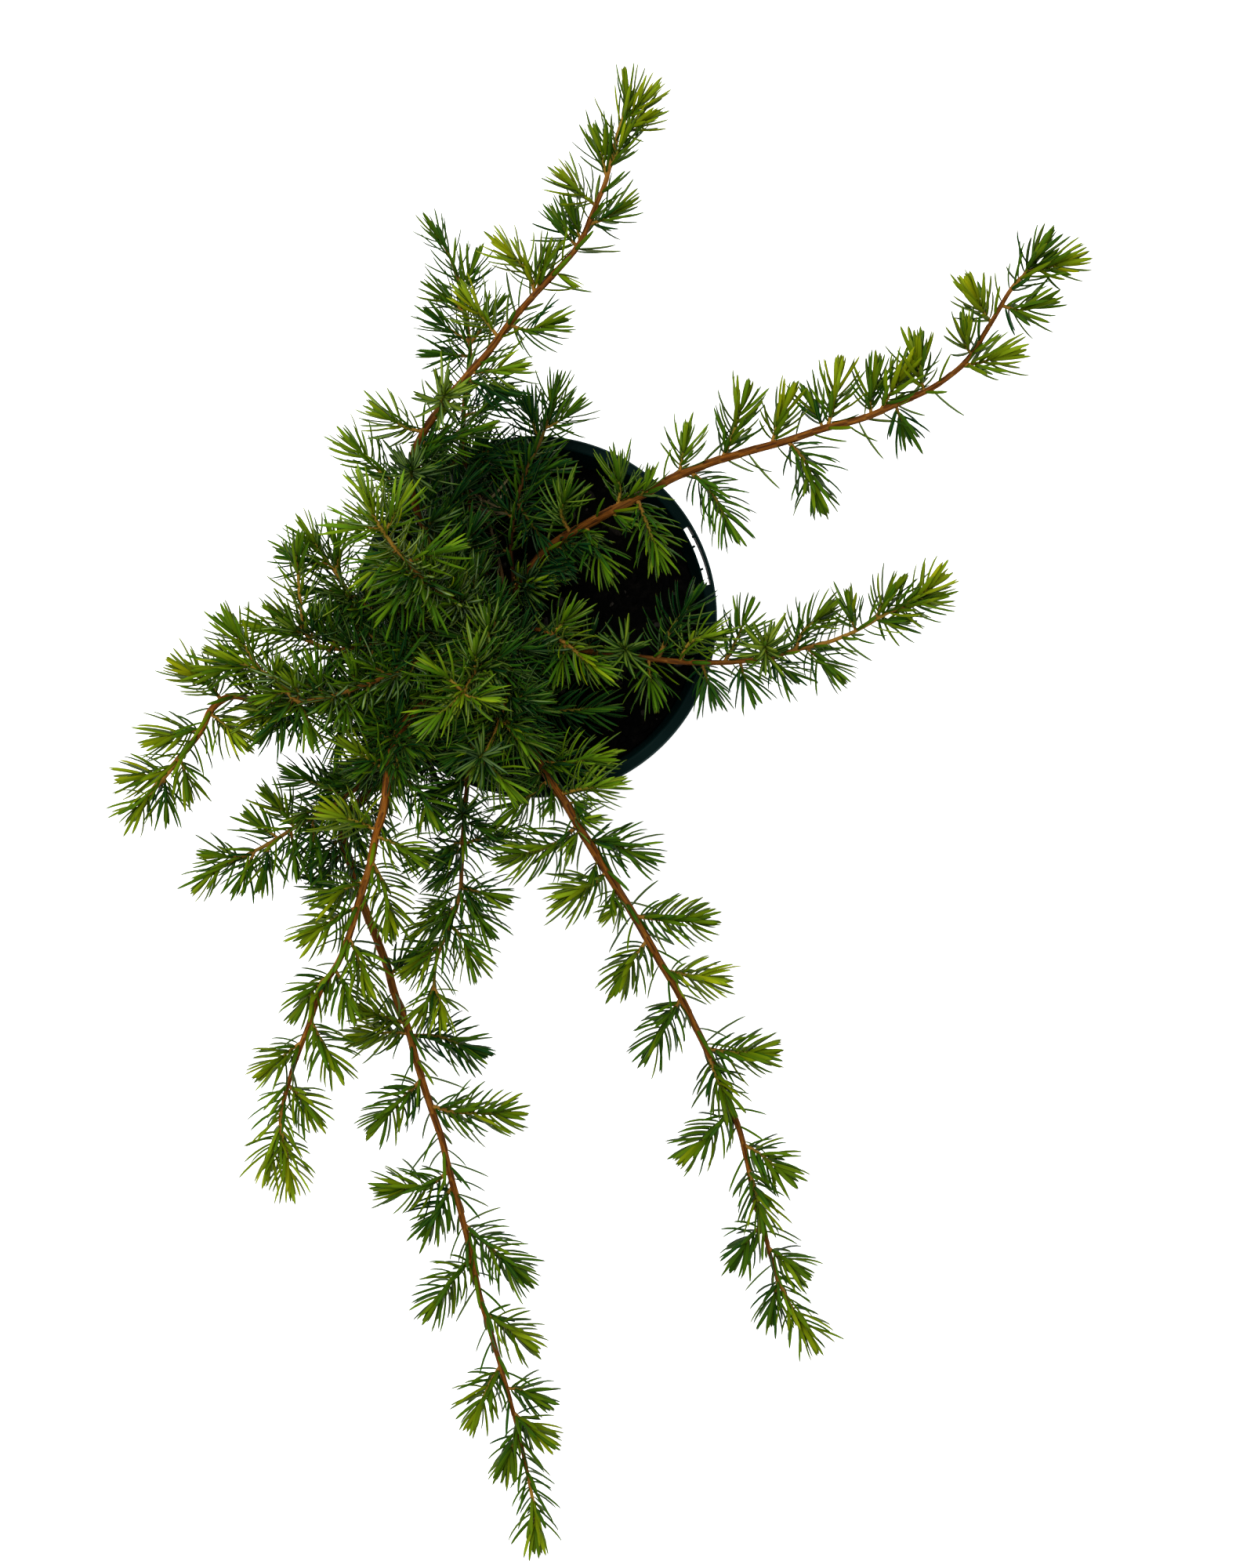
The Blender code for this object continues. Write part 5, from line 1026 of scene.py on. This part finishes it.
for tx, ty in ((650, 625), (640, 650), (635, 655), (652, 660), (600, 655), (655, 610), (590, 620)):
    place, t, n, b, r = dry.where(dry.length * rng.uniform(0.82, 1.0))
    tip = at(tx, ty, place[2] + rng.uniform(0, 5))
    single(dead, place, tip - place, float(np.linalg.norm(tip - place)), np.array((0, 0, 1.0)), 0.3, rng, 1.05, 0.2, 0.0, ahead=t)
leaves = dead.make("dead_needles", looks["dead"])
shown.append(leaves)


# ---- nursery pot -----------------------------------------------------------
TURNS = 192


def lathe(name, profile, turns=TURNS):
    """A closed turned solid from (radius, height) in mm, from the axis to the axis."""
    angle = np.arange(turns) * math.tau / turns
    inner = profile[1:-1]
    verts = [(0.0, 0.0, profile[0][1])]
    for r, z in inner:
        verts += [(r * math.cos(a), r * math.sin(a), z) for a in angle]
    verts.append((0.0, 0.0, profile[-1][1]))
    last = len(verts) - 1
    faces = []
    for k in range(turns):
        q = (k + 1) % turns
        faces.append((0, 1 + k, 1 + q))
        for i in range(len(inner) - 1):
            a, b = 1 + i * turns, 1 + (i + 1) * turns
            faces.append((a + q, a + k, b + k, b + q))
        a = 1 + (len(inner) - 1) * turns
        faces.append((last, a + q, a + k))
    mesh = bpy.data.meshes.new(name)
    mesh.from_pydata([(x * MM, y * MM, z * MM) for x, y, z in verts], [], faces)
    check = bmesh.new()
    check.from_mesh(mesh)
    bmesh.ops.recalc_face_normals(check, faces=check.faces)
    check.to_mesh(mesh)
    check.free()
    return mesh


def rounded(points, radius, steps=4):
    """Rounds each corner of an open outline whose point carries a radius."""
    out = [points[0][:2]]
    for before, here, after in zip(points, points[1:], points[2:]):
        rad = here[2] if len(here) > 2 else radius
        p, q, o = np.array(before[:2]), np.array(after[:2]), np.array(here[:2])
        a, b = unit(p - o), unit(q - o)
        room = 0.45 * min(np.linalg.norm(p - o), np.linalg.norm(q - o))
        cut = min(rad, room)
        for t in np.linspace(0, 1, steps + 1):
            out.append(tuple((1 - t) ** 2 * (o + a * cut) + 2 * t * (1 - t) * o + t * t * (o + b * cut)))
    out.append(points[-1][:2])
    return out


wall_top = RIM_RADIUS - LEDGE_WIDTH + WALL
slope = (wall_top - BASE_RADIUS) / (POT_HEIGHT - 4.0)


def wall_radius(z):
    return BASE_RADIUS + slope * max(0.0, z - 4.0)


H, R = POT_HEIGHT, RIM_RADIUS
outline = rounded([
    (0.0, FLOOR), (BASE_RADIUS - 5.0, FLOOR, 1.0), (wall_radius(6.0) - WALL, 6.5, 2.0),
    (wall_radius(60) - WALL, 60, 1.0), (wall_radius(120) - WALL, 120, 1.0),
    (R - LEDGE_WIDTH, H - 0.5, 0.9), (R - LEDGE_WIDTH + 1.0, H - 0.15, 0.6),
    (R - 1.25, H - 0.35, 0.3), (R - 0.95, H, 0.35), (R - 0.30, H, 0.45), (R, H - 0.8, 0.5),
    (R - 0.35, H - 2.2, 0.5), (R - 0.35, H - SKIRT_DEPTH + 0.6, 0.4),
    (R - 0.35, H - SKIRT_DEPTH, 0.3), (R - SKIRT_THICK, H - SKIRT_DEPTH, 0.3), (R - SKIRT_THICK - 0.2, H - 1.6, 0.5),
    (wall_top + 0.1, H - 1.6, 0.5), (wall_radius(120), 120, 1.0), (wall_radius(60), 60, 1.0),
    (wall_radius(9.0), 9.0, 1.0), (BASE_RADIUS, 4.0, 1.2), (BASE_RADIUS - 0.9, 1.0, 0.8), (BASE_RADIUS - 2.4, 0.0, 0.5), (0.0, 0.0),
], 0.4, 3)
blank = show("pot_blank", lathe("pot_blank", outline))


def cutter(name, verts, faces):
    mesh = bpy.data.meshes.new(name)
    mesh.from_pydata([(x * MM, y * MM, z * MM) for x, y, z in verts], [], faces)
    fix = bmesh.new()
    fix.from_mesh(mesh)
    bmesh.ops.recalc_face_normals(fix, faces=fix.faces)
    fix.to_mesh(mesh)
    fix.free()
    return show(name, mesh)


def arc_cutter(name, inner, outer, low, high):
    """A curved prism between two lists of (degrees, radius) with the same length."""
    verts, faces = [], []
    for (a, r), (b, q) in zip(inner, outer):
        a, b = math.radians(a), math.radians(b)
        verts += [(r * math.cos(a), r * math.sin(a), low), (q * math.cos(b), q * math.sin(b), low),
                  (q * math.cos(b), q * math.sin(b), high), (r * math.cos(a), r * math.sin(a), high)]
    n = len(inner)
    for i in range(n - 1):
        for k in range(4):
            faces.append((4 * i + k, 4 * i + 4 + k, 4 * i + 4 + (k + 1) % 4, 4 * i + (k + 1) % 4))
    faces += [(0, 1, 2, 3), tuple(4 * (n - 1) + k for k in (3, 2, 1, 0))]
    return cutter(name, verts, faces)


def toothed(radius, teeth, inward, steps):
    """(degrees, radius) along the slot's side, with small grip teeth that stick into it."""
    out = []
    for a in steps:
        r = radius
        for middle, half, depth in teeth:
            if abs(a - middle) <= half:
                r += depth if inward else -depth
        out.append((a, r))
    return out


edge_in, edge_out = TAG_SLOT_RADIUS - TAG_SLOT_WIDTH / 2, TAG_SLOT_RADIUS + TAG_SLOT_WIDTH / 2
teeth_in = ((24.0, 0.33, 1.20), (16.0, 0.33, 1.20))
teeth_out = ((27.0, 0.33, 1.20), (12.5, 0.33, 1.20))
grid_steps = []
for a in np.arange(TAG_SLOT_FROM, TAG_SLOT_TO + 0.01, 0.75):
    grid_steps.append(float(a))
for middle, half, _ in teeth_in + teeth_out:
    grid_steps += [middle - half - 0.02, middle - half, middle + half, middle + half + 0.02]
grid_steps = sorted(set(round(a, 4) for a in grid_steps))
slot_cut = arc_cutter("slot_cut", toothed(edge_in, teeth_in, True, grid_steps), toothed(edge_out, teeth_out, False, grid_steps), H - 9, H + 4)
holes = []
for i in range(DRAIN_HOLES):
    turn = math.tau * (i + 0.5) / DRAIN_HOLES
    x, y = DRAIN_CIRCLE * math.cos(turn), DRAIN_CIRCLE * math.sin(turn)
    ring = [(x + DRAIN_RADIUS * math.cos(a), y + DRAIN_RADIUS * math.sin(a)) for a in np.arange(40) * math.tau / 40]
    verts = [(px, py, -3.0) for px, py in ring] + [(px, py, 4.0) for px, py in ring]
    faces = [(k, (k + 1) % 40, 40 + (k + 1) % 40, 40 + k) for k in range(40)] + [tuple(range(39, -1, -1)), tuple(range(40, 80))]
    holes.append(cutter(f"hole_cut_{i}", verts, faces))
for tool in (slot_cut, *holes):
    step = blank.modifiers.new("cut", "BOOLEAN")
    step.operation, step.solver, step.object = "DIFFERENCE", "EXACT", tool
graph = bpy.context.evaluated_depsgraph_get()
pot_mesh = bpy.data.meshes.new_from_object(blank.evaluated_get(graph))
pot_mesh.name = "pot_shell"
for tool in (slot_cut, *holes, blank):
    old = tool.data
    bpy.data.objects.remove(tool, do_unlink=True)
    bpy.data.meshes.remove(old)
pot_mesh.materials.clear()
pot_mesh.materials.append(looks["pot"])
pot_mesh.shade_smooth()
pot_mesh.set_sharp_from_angle(angle=math.radians(38))
pot = show("pot_shell", pot_mesh)
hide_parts("nursery_pot")
shown.append(pot)

# ---- potting mix -----------------------------------------------------------
GAP_SIDE = 0.3
soil_r = wall_radius(SOIL_TOP - 2.5) - WALL - GAP_SIDE


def soil_height(x, y):
    """Height in mm of the mix's surface: lumps over a gentle fall to the wall."""
    r = math.hypot(x, y) / soil_r
    z = SOIL_TOP + 0.6 - 1.6 * r ** 4
    z += 1.3 * noise.noise(Vector((x * 0.055, y * 0.055, 1.7)))
    z += 0.85 * noise.noise(Vector((x * 0.19, y * 0.19, 4.1)))
    z += 0.50 * noise.noise(Vector((x * 0.55, y * 0.55, 8.3)))
    z += 0.28 * noise.noise(Vector((x * 1.3, y * 1.3, 2.2)))
    return z


rings, turns = 84, 240
verts = [(0.0, 0.0, soil_height(0, 0))]
for i in range(1, rings + 1):
    r = soil_r * i / rings
    for k in range(turns):
        a = math.tau * (k + 0.5 * (i % 2)) / turns
        x, y = r * math.cos(a), r * math.sin(a)
        verts.append((x, y, soil_height(x, y)))
side = [(soil_r, SOIL_TOP - 4.5), (wall_radius(120) - WALL - GAP_SIDE, 120), (wall_radius(60) - WALL - GAP_SIDE, 60), (wall_radius(8) - WALL - GAP_SIDE, 8), (BASE_RADIUS - 6.5, FLOOR + GAP_SIDE)]
for r, z in side:
    for k in range(turns):
        a = math.tau * k / turns
        verts.append((r * math.cos(a), r * math.sin(a), z))
verts.append((0.0, 0.0, FLOOR + GAP_SIDE))
faces = [(0, 1 + k, 1 + (k + 1) % turns) for k in range(turns)]
for i in range(rings + len(side) - 1):
    a, b = 1 + i * turns, 1 + (i + 1) * turns
    for k in range(turns):
        q = (k + 1) % turns
        faces.append((a + k, b + k, b + q, a + q))
a, last = 1 + (rings + len(side) - 1) * turns, len(verts) - 1
faces += [(a + (k + 1) % turns, a + k, last) for k in range(turns)]
mesh = bpy.data.meshes.new("mix_body")
mesh.from_pydata([(x * MM, y * MM, z * MM) for x, y, z in verts], [], faces)
check = bmesh.new()
check.from_mesh(mesh)
bmesh.ops.recalc_face_normals(check, faces=check.faces)
check.to_mesh(mesh)
check.free()
mesh.shade_smooth()
mesh.materials.append(looks["mix"])
soil = show("mix_body", mesh)
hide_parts("potting_mix")
shown.append(soil)

# loose bark chips and grit on it
rng = np.random.default_rng(21)
bm = bmesh.new()
bmesh.ops.create_icosphere(bm, subdivisions=2, radius=1.0)
ball = np.array([v.co[:] for v in bm.verts])
ball_faces = np.array([[v.index for v in f.verts] for f in bm.faces])
bm.free()
chip_verts, chip_faces, chip_tint = [], [], []
count = 0
for k in range(CHIPS):
    r = (soil_r - 2.0) * math.sqrt(rng.random())
    a = rng.uniform(0, math.tau)
    x, y = r * math.cos(a), r * math.sin(a)
    big = rng.random() ** 3.2
    size = np.array((0.45 + 2.9 * big, 0.35 + 1.5 * big, 0.25 + 0.55 * big)) * rng.uniform(0.8, 1.2, 3)
    if math.hypot(x, y) + size[0] > soil_r - 0.4:
        continue
    p = ball * (1 + 0.22 * np.sin(ball @ rng.normal(0, 2.6, (3, 1)) + rng.uniform(0, 6)))
    p = np.sign(p) * np.abs(p) ** 0.75 * size
    yaw, pitch, roll = rng.uniform(0, math.tau), rng.normal(0, 0.3), rng.normal(0, 0.4)
    turn = np.array(Matrix.Rotation(yaw, 3, "Z") @ Matrix.Rotation(pitch, 3, "Y") @ Matrix.Rotation(roll, 3, "X"))
    p = p @ turn.T + np.array((x, y, soil_height(x, y) + size[2] * 0.25))
    chip_verts.append(p)
    chip_faces.append(ball_faces + count)
    tone = rng.random() ** 2.2
    if rng.random() < 0.03:
        tone = rng.uniform(0.9, 1.0)
    chip_tint.append(np.tile((tone, rng.random(), 0.0, 1.0), (len(p), 1)))
    count += len(p)
mesh = bpy.data.meshes.new("mix_chips")
mesh.from_pydata((np.vstack(chip_verts) * MM).tolist(), [], np.vstack(chip_faces).tolist())
tint = mesh.attributes.new("tint", "FLOAT_COLOR", "POINT")
tint.data.foreach_set("color", np.vstack(chip_tint).astype(np.float32).ravel())
mesh.shade_smooth()
mesh.materials.append(looks["chip"])
chips = show("mix_chips", mesh)
shown.append(chips)

for piece in shown:
    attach(piece, "root")

# ---- studio ----------------------------------------------------------------
mesh = bpy.data.meshes.new("studio_floor")
mesh.from_pydata([(-8, -8, 0), (8, -8, 0), (8, 8, 0), (-8, 8, 0)], [], [(0, 1, 2, 3)])
mesh.materials.append(looks["floor"])
floor = show("studio_floor", mesh)
floor.location.z = -0.0002
floor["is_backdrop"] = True

world = bpy.data.worlds.new("studio")
bpy.context.scene.world = world
world.use_nodes = True
world.node_tree.nodes["Background"].inputs[0].default_value = (1.0, 1.0, 1.0, 1.0)
world.node_tree.nodes["Background"].inputs[1].default_value = WORLD_LIGHT


def lamp(name, place, aim, size, power, colour=(1, 1, 1)):
    data = bpy.data.lights.new(name, "AREA")
    data.shape = "DISK"
    data.size = size
    data.energy = power
    data.color = colour
    made = bpy.data.objects.new(name, data)
    bpy.context.scene.collection.objects.link(made)
    made.location = place
    made.rotation_mode = "QUATERNION"
    made.rotation_quaternion = (Vector(aim) - Vector(place)).to_track_quat("-Z", "Y")
    return made


for entry in LAMPS:
    lamp(*entry)

view = bpy.context.scene.view_settings
view.view_transform = "Standard"
view.look = "None"
view.exposure = 0.0
view.gamma = 1.0

eye = bpy.data.cameras.new("camera")
eye.type = "PERSP"
eye.sensor_width = 36.0
eye.sensor_fit = "AUTO"
eye.lens = 45.4
eye.clip_start, eye.clip_end = 0.01, 50.0
camera = bpy.data.objects.new("camera", eye)
bpy.context.scene.collection.objects.link(camera)
camera.location = ((GRID_EYE[0] - GRID_AXIS[0]) * UNIT * MM, -(GRID_EYE[1] - GRID_AXIS[1]) * UNIT * MM, (EYE_ABOVE_RIM + POT_HEIGHT) * MM)
camera.rotation_euler = (0.0, 0.0, 0.0)
bpy.context.scene.camera = camera

bpy.context.view_layer.update()
low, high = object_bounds()
